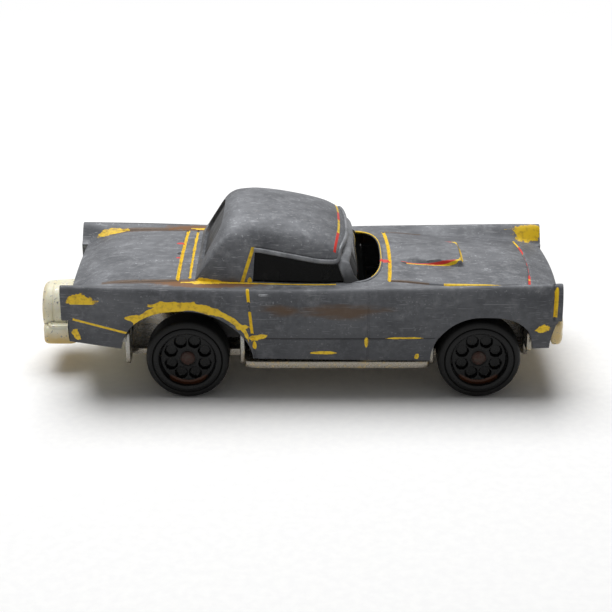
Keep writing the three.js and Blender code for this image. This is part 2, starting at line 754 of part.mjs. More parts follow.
function axle() {
  const headY = hubFaceY + axleHeadPlay;
  const endY = headY + axleHeadLength;
  const half = [
    [axleRadius, headY],
    [axleHeadRadius, headY],
    [axleHeadRadius, headY + 0.2],
    [axleHeadRadius * 0.6, endY],
    [0, endY],
  ];
  const otherHalf = half.slice().reverse().map(([r, y]) => [r, -y]);
  return lathed(otherHalf.concat(half), 32).translate([0, 0, wheelRadius]);
}

function part(name, shape, color, roughness, metalness) {
  const material = new THREE.MeshStandardMaterial({ color, roughness, metalness });
  const mesh = new THREE.Mesh(geometryOf(shape), material);
  mesh.name = name;
  return mesh;
}

const car = new THREE.Group();
car.name = "model_car";
const leftWheel = wheel();
const rightWheel = leftWheel.mirror([0, 1, 0]);
const spinningAxle = axle();
car.add(
  part("body_casting", bodyCasting(), 0x74777b, 0.6, 0.6),
  part("base_moulding", baseMoulding(), 0xe4dcb6, 0.4, 0),
  part("window_insert", windowInsert(), 0x17191c, 0.15, 0),
  part("interior_tub", interiorTub(), 0x2b2a29, 0.6, 0),
  part("front_axle", spinningAxle.translate([frontAxleX, 0, 0]), 0x7d6656, 0.5, 0.8),
  part("rear_axle", spinningAxle.translate([rearAxleX, 0, 0]), 0x7d6656, 0.5, 0.8),
  part("wheel_front_left", leftWheel.translate([frontAxleX, 0, 0]), 0x101011, 0.5, 0),
  part("wheel_front_right", rightWheel.translate([frontAxleX, 0, 0]), 0x101011, 0.5, 0),
  part("wheel_rear_left", leftWheel.translate([rearAxleX, 0, 0]), 0x101011, 0.5, 0),
  part("wheel_rear_right", rightWheel.translate([rearAxleX, 0, 0]), 0x101011, 0.5, 0),
);
export default car;
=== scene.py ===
import math
import bmesh
import bpy
import numpy as np
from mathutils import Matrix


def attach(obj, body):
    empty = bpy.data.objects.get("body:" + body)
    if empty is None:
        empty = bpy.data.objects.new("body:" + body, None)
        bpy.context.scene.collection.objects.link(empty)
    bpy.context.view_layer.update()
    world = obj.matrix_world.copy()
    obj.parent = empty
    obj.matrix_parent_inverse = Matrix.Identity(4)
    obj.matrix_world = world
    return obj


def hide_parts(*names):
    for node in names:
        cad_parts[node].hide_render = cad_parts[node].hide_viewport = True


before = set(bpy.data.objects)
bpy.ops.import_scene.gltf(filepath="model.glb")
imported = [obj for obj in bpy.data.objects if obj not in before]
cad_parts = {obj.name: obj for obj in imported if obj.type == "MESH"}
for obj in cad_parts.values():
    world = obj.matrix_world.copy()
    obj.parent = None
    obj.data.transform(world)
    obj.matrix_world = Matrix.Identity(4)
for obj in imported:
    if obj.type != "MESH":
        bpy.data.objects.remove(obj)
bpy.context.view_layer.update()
print("frame loaded with", len(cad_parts), "CAD nodes")


def softStep(t):
    t = np.clip(t, 0.0, 1.0)
    return t * t * (3.0 - 2.0 * t)


# smooth curve through pairs: cubic between knots, slope taken from the two neighbours, held flat outside
def curve(pairs):
    knots, values = np.array(pairs, float).T
    before = np.maximum(np.arange(len(knots)) - 1, 0)
    after = np.minimum(np.arange(len(knots)) + 1, len(knots) - 1)
    slopes = (values[after] - values[before]) / (knots[after] - knots[before])

    def at(s):
        s = np.clip(np.asarray(s, float), knots[0], knots[-1])
        i = np.clip(np.searchsorted(knots, s, side="right") - 1, 0, len(knots) - 2)
        h = knots[i + 1] - knots[i]
        t = (s - knots[i]) / h
        bend = h * t * (1 - t) * ((1 - t) * slopes[i] - t * slopes[i + 1])
        return values[i] + (values[i + 1] - values[i]) * softStep(t) + bend
    return at


def gridFaces(rows, cols, closeRows, closeCols, first):
    i = np.arange(rows if closeRows else rows - 1)[:, None]
    j = np.arange(cols if closeCols else cols - 1)[None, :]
    nextI, nextJ = (i + 1) % rows, (j + 1) % cols
    corners = [i * cols + j, nextI * cols + j, nextI * cols + nextJ, i * cols + nextJ]
    return np.stack(corners, -1).reshape(-1, 4) + first


# joins grids of points in mm into one welded mesh in metres that rides on a body
def addPiece(name, grids, material, body="car", sharp=38, stands=(), turnOut=True):
    verts, faces, first = [], [], 0
    for grid in grids:
        points, closeRows, closeCols = grid if isinstance(grid, tuple) else (grid, False, False)
        rows, cols = points.shape[:2]
        verts.append(points.reshape(-1, 3))
        faces.append(gridFaces(rows, cols, closeRows, closeCols, first))
        first += rows * cols
    mesh = bpy.data.meshes.new(name)
    mesh.from_pydata((np.concatenate(verts) * 0.001).tolist(), [], np.concatenate(faces).tolist())
    work = bmesh.new()
    work.from_mesh(mesh)
    bmesh.ops.remove_doubles(work, verts=work.verts, dist=3e-6)
    bmesh.ops.dissolve_degenerate(work, edges=work.edges, dist=1e-6)
    if turnOut:
        bmesh.ops.recalc_face_normals(work, faces=work.faces)
    work.to_mesh(mesh)
    work.free()
    mesh.shade_smooth()
    mesh.set_sharp_from_angle(angle=math.radians(sharp))
    obj = bpy.data.objects.new(name, mesh)
    bpy.context.scene.collection.objects.link(obj)
    mesh.materials.append(material)
    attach(obj, body)
    if stands:
        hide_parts(*stands)
    print("piece", name, len(mesh.polygons), "faces")
    return obj


# shader maths: a wire wraps an output socket, so that formulas read as formulas
class Wire:
    def __init__(self, tree, socket):
        self.tree, self.socket = tree, socket

    def node(self, kind, sockets, settings=None, out=0):
        made = self.tree.nodes.new(kind)
        for key, value in (settings or {}).items():
            setattr(made, key, value)
        for key, value in sockets.items():
            if isinstance(value, Wire):
                self.tree.links.new(value.socket, made.inputs[key])
            else:
                made.inputs[key].default_value = value
        return Wire(self.tree, made.outputs[out])

    def maths(self, operation, *terms):
        return self.node("ShaderNodeMath", dict(enumerate(terms)), {"operation": operation})

    def __add__(self, other):
        return self.maths("ADD", self, other)

    def __radd__(self, other):
        return self.maths("ADD", other, self)

    def __sub__(self, other):
        return self.maths("SUBTRACT", self, other)

    def __rsub__(self, other):
        return self.maths("SUBTRACT", other, self)

    def __mul__(self, other):
        return self.maths("MULTIPLY", self, other)

    def __rmul__(self, other):
        return self.maths("MULTIPLY", other, self)

    def __truediv__(self, other):
        return self.maths("DIVIDE", self, other)

    def __rtruediv__(self, other):
        return self.maths("DIVIDE", other, self)

    def __pow__(self, other):
        return self.maths("POWER", self, other)

    def __abs__(self):
        return self.maths("ABSOLUTE", self)

    def top(self, other):
        return self.maths("MAXIMUM", self, other)

    def low(self, other):
        return self.maths("MINIMUM", self, other)

    def step(self, start, end):
        return self.node("ShaderNodeMapRange", {0: self, 1: start, 2: end}, {"interpolation_type": "SMOOTHSTEP"})

    def between(self, start, end, soft):
        return self.step(start - soft, start + soft) * (1.0 - self.step(end - soft, end + soft))

    def noise(self, scale, detail=4.0, rough=0.55, stretch=(1, 1, 1), shift=(0, 0, 0)):
        moved = self.node("ShaderNodeMapping", {"Vector": self, "Location": shift, "Scale": stretch})
        sockets = {"Vector": moved, "Scale": scale, "Detail": detail, "Roughness": rough}
        return self.node("ShaderNodeTexNoise", sockets)

    def tint(self, first, second):
        return self.node("ShaderNodeMix", {0: self, 6: first, 7: second}, {"data_type": "RGBA"}, 2)


def colour(r, g, b):
    return (r, g, b, 1.0)


# a material with its shader node and the object's own coordinates in mm
def newMaterial(name, fixed):
    material = bpy.data.materials.new(name)
    material.use_nodes = True
    tree = material.node_tree
    shader = tree.nodes["Principled BSDF"]
    for key, value in fixed.items():
        shader.inputs[key].default_value = value
    place = tree.nodes.new("ShaderNodeTexCoord")
    pos = Wire(tree, place.outputs["Object"])
    pos = pos.node("ShaderNodeVectorMath", {0: pos, "Scale": 1000.0}, {"operation": "SCALE"})
    return material, shader, pos


def feed(shader, **inputs):
    for key, wire in inputs.items():
        wire.tree.links.new(wire.socket, shader.inputs[key.replace("_", " ")])


def split(pos):
    return [pos.node("ShaderNodeSeparateXYZ", {0: pos}, out=k) for k in range(3)]


def relief(shader, height, strength, distance):
    feed(shader, Normal=height.node("ShaderNodeBump", {"Height": height, "Strength": strength, "Distance": distance}))


axles = {"front": 25.4, "rear": -15.9, "height": 5.9}
rearArch = {"back": 9.35, "front": 9.35, "rise": 7.86, "backPower": 2.5, "frontPower": 1.85}
frontArch = {"back": 7.0, "front": 7.45, "rise": 6.87, "backPower": 2.0, "frontPower": 3.0}
hood = {"rear": 12.6, "bow": 0.4, "front": 32.5, "frontBow": 0.7, "rearHalf": 9.8, "frontHalf": 8.7}
deck = {"lid": -17.1, "second": -15.5, "half": 10.1, "rearHalf": 10.6}
door = {"top": -7.25, "lean": 0.1, "front": 9.6}

# bare zinc with leftover yellow, red and black paint; the masks are measured in mm on the car
zincLook = {
    "dark": colour(0.072, 0.075, 0.083), "light": colour(0.175, 0.181, 0.194), "chalk": colour(0.5, 0.51, 0.53),
    "yellow": colour(0.85, 0.56, 0.008), "ochre": colour(0.5, 0.3, 0.012), "red": colour(0.62, 0.03, 0.02),
    "black": colour(0.008, 0.008, 0.009), "rust": colour(0.1, 0.056, 0.026),
    # paintedShade is the dark tone laid over the sides as painted shade
    "paintedShade": colour(0.03, 0.031, 0.035), "burnt": colour(0.17, 0.068, 0.012),
}


def zincMaterial(name, paintOf):
    look = zincLook
    material, shader, pos = newMaterial(name, {"Metallic": 0.35, "Specular IOR Level": 0.45})
    x, y, z = split(pos)
    cloud = pos.noise(0.16, 5.0, 0.6)
    grain = pos.noise(1.3, 6.0, 0.7)
    streak = pos.noise(0.5, 4.0, 0.6, (0.5, 1.6, 2.2), (3, 7, 1))
    specks = pos.noise(3.2, 2.0, 0.5)
    scratch = pos.noise(1.1, 2.0, 0.5, (0.35, 5.0, 6.0), (11, 2, 5))
    tone = (cloud * 0.7 + streak * 0.4 + grain * 0.45).step(0.5, 1.05)
    base = tone.tint(look["dark"], look["light"])
    bloom = (pos.noise(0.42, 6.0, 0.68, shift=(9, 3, 6)) * 0.8 + grain * 0.35).step(0.56, 0.86) * 0.3
    chalk = bloom.top((specks * 0.7 + streak * 0.5).step(0.72, 0.82) * 0.5)
    chalk = chalk.top((scratch - 0.64).step(0.0, 0.05) * 0.35)
    base = chalk.tint(base, look["chalk"])
    ragged = (pos.noise(0.75, 6.0, 0.6, (0.6, 1.0, 1.2)) - 0.5) * 1.1 + (grain - 0.5) * 0.9
    warpX = x + (pos.noise(0.34, 4.0, 0.55, shift=(1, 8, 2)) - 0.5) * 3.4
    warpZ = z + (pos.noise(0.42, 4.0, 0.55, (0.7, 1.0, 1.0), (6, 4, 7)) - 0.5) * 2.4
    paint = paintOf(pos, x, y, z, ragged, warpX, warpZ)
    # painted shade: the shade mask darkens the sides towards paintedShade to stand in for the shade under the top
    # light
    base = (paint["shade"] * (0.5 + 0.55 * streak)).tint(base, look["paintedShade"])
    # painted shade: a thin black line along the crease step on the sides
    creaseShadeLine = paint["grime"].step(0.1, 0.7) * 0.8
    base = creaseShadeLine.tint(base, look["black"])
    stain = paint["rust"].step(0.35, 0.75) * 0.75
    base = stain.tint(base, look["rust"])
    burnt = paint["burnt"].step(0.1, 0.5) * 0.8
    base = burnt.tint(base, look["burnt"])
    edge = (paint["yellow"] - 0.04).step(0.0, 0.1)
    yellowTone = (pos.noise(1.6, 4.0) + (1.0 - edge) * 0.35).step(0.45, 0.75)
    base = edge.tint(base, yellowTone.tint(look["yellow"], look["ochre"]))
    red = paint["red"].step(0.0, 0.12)
    base = red.tint(base, look["red"])
    black = paint["black"].step(0.0, 0.12)
    base = black.tint(base, look["black"])
    painted = edge.top(red).top(black)
    feed(shader, Base_Color=base, Roughness=0.5 + grain * 0.22 - painted * 0.12, Metallic=0.42 - painted * 0.42)
    relief(shader, painted * 0.6 + grain * 0.35 + chalk * 0.2, 0.35, 0.00012)
    return material


# 1 inside an ellipse of half sizes a and b, falling through 0 at its edge
def spot(u, v, u0, v0, a, b):
    du, dv = (u - u0) / a, (v - v0) / b
    return 1.0 - (du * du + dv * dv) ** 0.5


# positive within half a width of a line where gap is 0, from start to end along u
def strip(gap, width, u, start, end):
    return (1.0 - abs(gap) / width).low((u - start) / width).low((end - u) / width)


def bodyPaint(pos, x, y, z, ragged, warpX, warpZ):
    wide = abs(y)
    side = wide.step(12.3, 12.7)
    upper = 1.0 - side
    dx = x - axles["rear"]
    back = abs(dx / rearArch["back"]).low(0.999)
    bow = axles["height"] + rearArch["rise"] * (1.0 - back ** 2.1) ** (1 / 2.1)
    over = z - bow
    drift = ragged * 0.35
    archBand = strip(over - 0.62 + (warpZ - z) * 0.5, 0.8, dx, -7.6, 9.0) + drift
    archFish = (spot(warpX, warpZ, -17.4, 14.45, 5.4, 0.85) + drift).low((over - 0.35) * 4)
    archBlob = spot(warpX, warpZ, -23.4, 12.7, 1.6, 0.8) + drift
    corner = spot(warpX, warpZ, -8.3, 11.2, 1.5, 0.8) + drift
    finPatch = (spot(warpX, warpZ, -30.5, 15.3, 3.1, 1.5) + ragged * 0.5).low((z - 14.5) * 3)
    doorGap = x - door["top"] - (16.2 - z) * door["lean"]
    doorLine = strip(doorGap, 0.32, z, 10.2, 17.2).low(abs(z - 14.3) * 2 - 1.0) + ragged * 0.25
    lowPatch = spot(warpX, warpZ, -6.0, 9.75, 2.0, 0.75) + ragged * 0.4
    lowTick = spot(x, z, -6.35, 8.4, 0.4, 1.0) + ragged * 0.3
    sillOne = spot(warpX, z, 3.5, 7.2, 3.2, 0.4) + ragged * 0.5
    sillTwo = spot(x, z, 9.35, 8.85, 0.42, 1.25) + ragged * 0.4
    sillThree = spot(warpX, z, 14.6, 9.62, 4.4, 0.3) + ragged * 0.6 - 0.1
    sillFour = spot(warpX, warpZ, 16.5, 6.75, 0.8, 0.55) + ragged * 0.4
    finLine = strip(z - 12.25 + (x + 31.4) * 0.27, 0.26, warpX, -31.6, -24.2) + ragged * 0.6
    tailPatch = spot(warpX, warpZ, -31.2, 9.9, 1.0, 1.4) + ragged * 0.8
    lampLine = strip(x - 35.72 - (z - 15) * 0.03, 0.42, z, 12.5, 17.5) + ragged * 0.15
    frontPatch = spot(warpX, warpZ, 34.2, 10.7, 1.6, 0.95) + ragged * 0.6
    sideYellow = archBand
    for mark in (archFish, archBlob, corner, finPatch, doorLine, lowPatch, lowTick, sillOne, sillTwo, sillThree,
                 sillFour, finLine, tailPatch, lampLine, frontPatch):
        sideYellow = sideYellow.top(mark)
    worn = ragged * 0.45
    lidLine = strip(x - deck["lid"] - y * 0.012, 0.4, wide, -1.0, 10.0) + worn
    secondLine = strip(x - deck["second"], 0.36, wide, -1.0, 9.4) + ragged * 0.9 - 0.1
    cowlLine = strip(x - hood["rear"] - hood["bow"] * (1.0 - (y / 9.8) ** 2), 0.42, wide, -1.0, 9.9) + worn * 0.6
    hoodLine = (strip(wide - 9.72 + (x - 20.0) * 0.06, 0.36, x, 20.2, 29.8) + worn * 0.5 + 0.1).low(y * -3.0)
    noseGap = x - hood["front"] - hood["frontBow"] * (1.0 - (y / hood["frontHalf"]) ** 2)
    noseLine = strip(noseGap, 0.26, wide, -1.0, 9.2) + worn - y.between(-5.2, 3.5, 0.6) * 0.6
    sx, sy = abs(x - 18.7) / 4.8, wide / 4.05
    ringed = ((sx ** 5.0 + sy ** 5.0) ** 0.2 - 1.0) * 4.2
    scoopLine = 1.0 - abs(ringed) / 0.34 + ragged * 0.5 - (1.0 - x.step(14.2, 15.2))
    round28 = ((abs(x - 6.9) / 4.95) ** 2.8 + (wide / 10.2) ** 2.8) ** (1 / 2.8)
    rim = (strip((round28 - 0.985) * 6.0, 0.12, x, 7.6, 13.0) + worn * 0.5).low((y + 9.0) * 3.0)
    belt = strip(wide - 10.78, 0.3, x, -16.8, 5.2) + worn * 0.8
    beltRear = spot(warpX, wide, -12.6, 10.7, 5.2, 1.15) + ragged * 1.0 - 0.05
    finRoot = (spot(warpX, wide, -28.6, 10.7, 4.4, 1.1) + ragged * 0.7) * (y + 1.0).step(0.0, 1.0)
    lampRoot = (spot(warpX, wide, 34.6, 10.9, 4.2, 1.9) + ragged * 1.1 - 0.1) * (y + 1.0).step(0.0, 1.0)
    hue = pos.noise(0.33, 2.0, 0.5, shift=(5, 1, 9))
    redSpots = spot(x, y, 12.2, -3.4, 1.2, 0.8).top(spot(x, y, -17.7, 3.4, 0.9, 0.6))
    redSpots = redSpots.top(spot(x, y, -17.6, -2.4, 0.5, 0.35)) + worn
    scoopRed = (scoopLine + 0.15).low((-0.1 - ringed) * 4.0 + 0.5).low((22.6 - x) * 2.0)
    noseRed = noseLine.low((hue - 0.5) * 9.0)
    lines = lidLine.top(secondLine).top(cowlLine).top(hoodLine).top(noseLine).top(scoopLine - 0.1)
    blackSpots = (scoopLine + 0.2).low((15.6 - x) * 2.0).top(spot(x, y, -17.6, -0.8, 0.5, 0.8) + worn)
    topYellow = lines.top(belt).top(beltRear).top(finRoot).top(lampRoot).top(rim)
    smear = pos.noise(0.45, 5.0, 0.65, (0.45, 1.0, 2.2))
    rust = (spot(warpX, z, 6.0, 13.7, 8.0, 1.3).top(spot(warpX, z, -2.4, 13.9, 3.2, 1.1)) * 0.5 + smear * 0.75) * side
    deckRust = (strip(wide - 10.45, 0.95, x, -28.0, -7.5) * 0.95 + smear * 0.65) * upper
    hoodRust = (strip(wide - 9.75, 0.5, x, 12.6, 18.5) * 0.7 + smear * 0.5) * upper
    # painted shade: thin dark line following the crease step along the sides
    grime = strip(z - 9.55 - (1.0 - x.step(-30.0, -8.0)) * 2.4, 0.16, x, -8.5, 19.0) * side
    return {"yellow": (sideYellow - 0.22) * side + (topYellow - 0.28) * upper - 0.02,
            "red": (scoopRed.top(noseRed).top(redSpots) - 0.25) * upper - 0.01,
            "black": (blackSpots - 0.4) * upper - 0.01,
            "rust": rust.top(deckRust).top(hoodRust), "grime": grime,
            # painted shade on the sides, darker towards the bottom
            "shade": side * (0.5 + 0.25 * (1.0 - z.step(8.0, 15.0))),
            "burnt": (spot(warpX, wide, -13.5, 11.2, 8.5, 1.5) + ragged * 1.1 + 0.1) * upper}


def roofPaint(pos, x, y, z, ragged, warpX, warpZ):
    wide = abs(y)
    postLine = strip(x + 8.25 - (z - 16.2) * 0.32, 0.4, z, 16.0, 21.8) + ragged * 0.2
    postFoot = spot(warpX, warpZ, -7.2, 17.2, 0.8, 0.7) + ragged * 0.4
    foot = spot(warpX, z, -13.0, 16.7, 3.6, 0.9) + ragged * 0.8 - 0.1
    footLine = strip(z - 16.25, 0.35, x, -15.0, -7.2) + ragged * 0.5
    header = strip(x - 5.6 + 0.7 * (wide / 9.0) ** 2.8, 0.24, wide, -1.0, 9.2) + ragged * 0.4
    reds = y.between(-9.6, -5.4, 0.5).top(y.between(-0.5, 2.8, 0.5))
    yellow = (postLine.top(postFoot).top(foot).top(footLine)) * wide.step(7.5, 8.5)
    rear = spot(x, wide, -13.2, 6.3, 2.2, 0.9) * 0.5 + pos.noise(0.6, 4.0) * 0.4
    low = (1.0 - z.step(16.3, 17.6)) * x.between(-15.0, -7.8, 0.5) * 0.5 + pos.noise(0.7, 4.0) * 0.6
    none = (z - 60.0) * 0.01  # below 0 everywhere, so nothing shows
    return {"yellow": yellow.top(header) - 0.26, "red": (header - 0.2).low((reds - 0.5) * 6.0) - 0.01,
            "black": none, "rust": rear.top(low), "grime": none,
            # painted shade on the roof's lower sides, below the drip rail
            "shade": (1.0 - z.step(16.5, 20.5)) * wide.step(7.5, 9.0) * 0.3,
            "burnt": (spot(warpX, z, -12.0, 16.2, 4.5, 0.9) + ragged * 0.9) * wide.step(7.5, 8.5)}


zinc = zincMaterial("wornZinc", bodyPaint)
roofZinc = zincMaterial("wornZincRoof", roofPaint)


# rubbed edges of the casting: rail, pillars and handles, a little brighter and with no paint; the windscreen pillars'
# lower parts are painted near black as painted shade
def railMaterial():
    material, shader, pos = newMaterial("rubbedZinc", {"Metallic": 0.55})
    grain = pos.noise(1.5, 6.0, 0.7)
    cloud = pos.noise(0.4, 4.0, 0.6)
    tone = (grain * 0.5 + cloud * 0.6).step(0.35, 0.8)
    x, y, z = split(pos)
    # painted shade: near black on the lower windscreen pillars, beside the dark cowl opening
    foot = (1.0 - z.step(16.9, 19.7)) * x.step(5.6, 6.4) * 0.9
    base = foot.tint(tone.tint(colour(0.1, 0.104, 0.112), colour(0.26, 0.267, 0.28)), colour(0.012, 0.012, 0.013))
    feed(shader, Base_Color=base, Roughness=0.38 + grain * 0.25)
    relief(shader, grain, 0.3, 0.0001)
    return material


railZinc = railMaterial()

# cream plastic: plating worn away, yellowed low down, flecks of plating left
creamLook = {"cream": colour(0.74, 0.69, 0.49), "yellowed": colour(0.56, 0.36, 0.06),
             "pale": colour(0.82, 0.79, 0.64), "plating": colour(0.24, 0.24, 0.235), "dirt": colour(0.1, 0.075, 0.045)}


def creamMaterial():
    look = creamLook
    material, shader, pos = newMaterial("wornPlating", {
        "IOR": 1.49, "Subsurface Weight": 0.25, "Subsurface Radius": (0.6, 0.45, 0.2), "Subsurface Scale": 0.0012})
    x, y, z = split(pos)
    cloud = pos.noise(0.5, 5.0, 0.6)
    fine = pos.noise(2.6, 5.0, 0.65)
    base = cloud.step(0.3, 0.7).tint(look["cream"], look["pale"])
    rearRim = (1.0 - x.step(-37.9, -36.9)) * 0.6
    bumper = (x - 30.0).step(0.0, 1.0) * (0.4 + 0.75 * cloud)
    lowTint = (1.0 - (z + cloud * 1.8).step(5.9, 8.2)).top(rearRim).top(bumper)
    base = (lowTint * 0.85).tint(base, look["yellowed"])
    flecks = (pos.noise(1.1, 5.0, 0.7, shift=(2, 4, 4)) + fine * 0.3).step(0.74, 0.79)
    plated = x.between(-26.0, 33.5, 0.8) * (fine * 0.7 + cloud * 0.5).step(0.36, 0.6)
    flecks = flecks.top(plated)
    base = (flecks * 0.85).tint(base, look["plating"])
    grime = (fine * 0.5 + cloud * 0.5).step(0.6, 0.75) * 0.4
    base = grime.tint(base, look["dirt"])
    feed(shader, Base_Color=base, Roughness=0.26 + fine * 0.22 - flecks * 0.1, Metallic=flecks * 0.7)
    relief(shader, fine * 0.5 + cloud * 0.6, 0.25, 0.00012)
    return material


cream = creamMaterial()

smokeLook = {"dark": colour(0.004, 0.0045, 0.0045), "dust": colour(0.06, 0.06, 0.056)}


def smokeMaterial():
    look = smokeLook
    material, shader, pos = newMaterial("smokedPlastic", {"IOR": 1.49, "Specular IOR Level": 0.12})
    dust = pos.noise(0.5, 5.0, 0.65, (1.0, 1.0, 0.5))
    fine = pos.noise(3.0, 4.0, 0.6)
    haze = (dust + fine * 0.2).step(0.6, 0.95)
    base = (haze * 0.4).tint(look["dark"], look["dust"])
    feed(shader, Base_Color=base, Roughness=0.05 + haze * 0.2, Alpha=0.9 + haze * 0.1)
    relief(shader, dust, 0.12, 0.0001)
    return material


smoke = smokeMaterial()

wheelLook = {"black": colour(0.003, 0.003, 0.0032), "dull": colour(0.008, 0.008, 0.0078),
             "dust": colour(0.05, 0.047, 0.042), "rust": colour(0.09, 0.03, 0.011)}


# the wheel's own attribute says how far out a point is, so tread, ring and hub can differ on every wheel
def wheelMaterial():
    look = wheelLook
    material, shader, pos = newMaterial("blackWheel", {"IOR": 1.5, "Specular IOR Level": 0.2})
    reach = pos.node("ShaderNodeAttribute", {}, {"attribute_name": "reach"}, 2)
    drop = pos.node("ShaderNodeAttribute", {}, {"attribute_name": "drop"}, 2)
    grain = pos.noise(1.2, 5.0, 0.65)
    fine = pos.noise(5.0, 4.0, 0.6)
    tyre = reach.step(4.55, 5.0)
    base = (tyre * 0.8).tint(look["black"], look["dull"])
    dust = (grain * 0.6 + fine * 0.45).step(0.58, 0.78) * (0.06 + tyre * 0.3)
    base = dust.tint(base, look["dust"])
    ring = reach.between(3.45, 4.0, 0.15) * drop.step(1.5, 3.2)
    rust = (ring * 0.8 + (1.0 - reach.step(0.9, 2.0)) * 0.5 + grain * 0.35).step(0.72, 0.98) * 0.8
    base = rust.tint(base, look["rust"])
    feed(shader, Base_Color=base, Roughness=0.24 + tyre * 0.26 + dust * 0.3 + fine * 0.08)
    relief(shader, grain * 0.6 + fine * 0.5, 0.25, 0.0001)
    return material


wheelBlack = wheelMaterial()

steelLook = {"steel": colour(0.045, 0.035, 0.03), "rust": colour(0.035, 0.011, 0.006)}


def steelMaterial():
    look = steelLook
    material, shader, pos = newMaterial("rustyWire", {})
    grain = pos.noise(1.6, 5.0, 0.65)
    rust = grain.step(0.32, 0.6)
    base = rust.tint(look["steel"], look["rust"])
    feed(shader, Base_Color=base, Metallic=0.9 - rust * 0.75, Roughness=0.4 + rust * 0.35)
    relief(shader, grain, 0.4, 0.0001)
    return material


rustyWire = steelMaterial()


def cabinMaterial():
    material, shader, pos = newMaterial("cabinPlastic", {"IOR": 1.48})
    grain = pos.noise(0.8, 5.0, 0.6)
    fine = pos.noise(6.0, 3.0)
    base = grain.step(0.3, 0.8).tint(colour(0.02, 0.02, 0.02), colour(0.05, 0.048, 0.045))
    feed(shader, Base_Color=base, Roughness=0.5 + fine * 0.2)
    relief(shader, fine, 0.2, 0.0001)
    return material


cabinPlastic = cabinMaterial()
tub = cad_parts["interior_tub"]
tub.data.materials.clear()
tub.data.materials.append(cabinPlastic)
print("materials made")

# body skin: heights in mm at shares of the length from fin end to headlamp
body = {
    "tail": -33.35, "nose": 36.7, "deckRear": -32.4, "noseLip": 36.2, "half": 13.9,
    "tuck": 0.75, "step": 0.22, "lip": 1.15,
    "fender": [[0, 17.2], [0.12, 17], [0.36, 16.6], [0.5, 16.5], [0.65, 16.7], [0.83, 16.9], [1, 17.15]],
    "valley": [[0, 14.3], [0.055, 15.9], [0.1, 16.65], [0.2, 16.85], [0.35, 16.8], [0.5, 16.5], [0.655, 16.65],
               [0.75, 16.1], [0.88, 15.6], [0.94, 15.3], [1, 14.4]],
    "centre": [[0, 14.8], [0.055, 16.4], [0.1, 17], [0.23, 17.3], [0.5, 17.2], [0.655, 17.2], [0.75, 16.9], [0.88, 16.4],
               [0.94, 15.9], [1, 14.6]],
    "plan": [[0, 0.962], [0.15, 0.99], [0.4, 1], [0.75, 1], [0.92, 0.988], [1, 0.962]],
    "crease": [[0, 12.2], [0.12, 10.3], [0.3, 9.6], [0.72, 9.55], [0.9, 10.6], [1, 11.7]],
    "ridge": [[0, 0.95], [0.15, 0.935], [0.4, 0.9], [1, 0.892]],
    "round": [[0, 1.3], [0.15, 2.0], [0.4, 4.0], [0.6, 4.6], [1, 4.6]],
    "cabinRear": -14.1, "cabinSquare": -8.0, "cabinRound": 6.9, "cabinFront": 11.85, "cabinHalf": 10.2,
    "scoop": {"rear": 14.0, "front": 23.4, "half": 4.0, "rise": 0.75},
}


def along(pairs):
    shape = curve(pairs)
    return lambda x: shape((x - body["tail"]) / (body["nose"] - body["tail"]))


fenderZ, valleyZ, centreZ = along(body["fender"]), along(body["valley"]), along(body["centre"])
planShare, creaseZ = along(body["plan"]), along(body["crease"])
ridgeShare, roundOff = along(body["ridge"]), along(body["round"])


def halfAt(x):
    return body["half"] * planShare(x)


# arch edge: axle height plus rise times (1 - |offset / reach| ^ power) ^ (1 / power)
def archZ(x, arch, axleX):
    off = x - axleX
    reach = np.where(off < 0, arch["back"], arch["front"])
    power = np.where(off < 0, arch["backPower"], arch["frontPower"])
    share = np.clip(np.abs(off) / reach, 0, 1)
    edge = axles["height"] + arch["rise"] * (1 - share ** power) ** (1 / power)
    return np.where(share >= 1, -10.0, edge)


def lowerZ(x):
    sill = 6.4 - 0.55 * (x - axles["rear"]) / (axles["front"] - axles["rear"])
    plain = np.where(x < axles["rear"], 8.8 - (x + 32.3) / 7.05, np.where(x > axles["front"], 7.8, sill))
    return np.maximum(plain, np.maximum(archZ(x, rearArch, axles["rear"]), archZ(x, frontArch, axles["front"])))


# a groove's depth at distance d from its line
def groove(d, width, depth):
    return depth * np.exp(-(d / width) ** 2)


# top surface at x and |y|: crown inside the valley, soft ramp up to the fender ridge, scoop and cast lines on it
def topZ(x, y, signedY):
    half = halfAt(x)
    valley, ridge = 0.72 * half, ridgeShare(x) * half
    low, high = valleyZ(x), fenderZ(x)
    crown = low + (centreZ(x) - low) * (1 - np.clip(y / valley, 0, 1) ** 2)
    ramp = low + (high - low) * softStep((y - valley) / (ridge - valley))
    z = np.where(y < valley, crown, ramp)
    s = body["scoop"]
    lift = s["rise"] * np.sqrt(np.clip((x - s["rear"]) / 6.0, 0, 1)) * softStep((s["front"] - x) / 0.5 + 0.5)
    width = s["half"] * (0.82 + 0.18 * np.clip((x - s["rear"]) / 8.0, 0, 1))
    z = z + lift * softStep((width - y) / 0.5 + 0.5)
    hoodHalf = hood["rearHalf"] + (hood["frontHalf"] - hood["rearHalf"]) * softStep((x - 22) / 11)
    rear = hood["rear"] + hood["bow"] * (1 - (y / 9.8) ** 2) - x
    front = x - hood["front"] - hood["frontBow"] * (1 - (y / 8.7) ** 2)
    z = z - groove(np.maximum(np.maximum(y - hoodHalf, rear), front), 0.16, 0.22)
    lidHalf = deck["half"] + (deck["rearHalf"] - deck["half"]) * np.clip((-17 - x) / 10, 0, 1)
    lid = np.maximum(y - lidHalf, x - deck["lid"])
    z = z - groove(lid, 0.17, 0.22) * softStep((x + 28.2) / 1.2)
    z = z - groove(x - deck["second"], 0.15, 0.16) * (y < 10)
    cap = np.hypot(x + 25.0, signedY + 10.4) - 2.6
    return z - groove(cap, 0.16, 0.13) * softStep((signedY + 10.6) / 0.5)


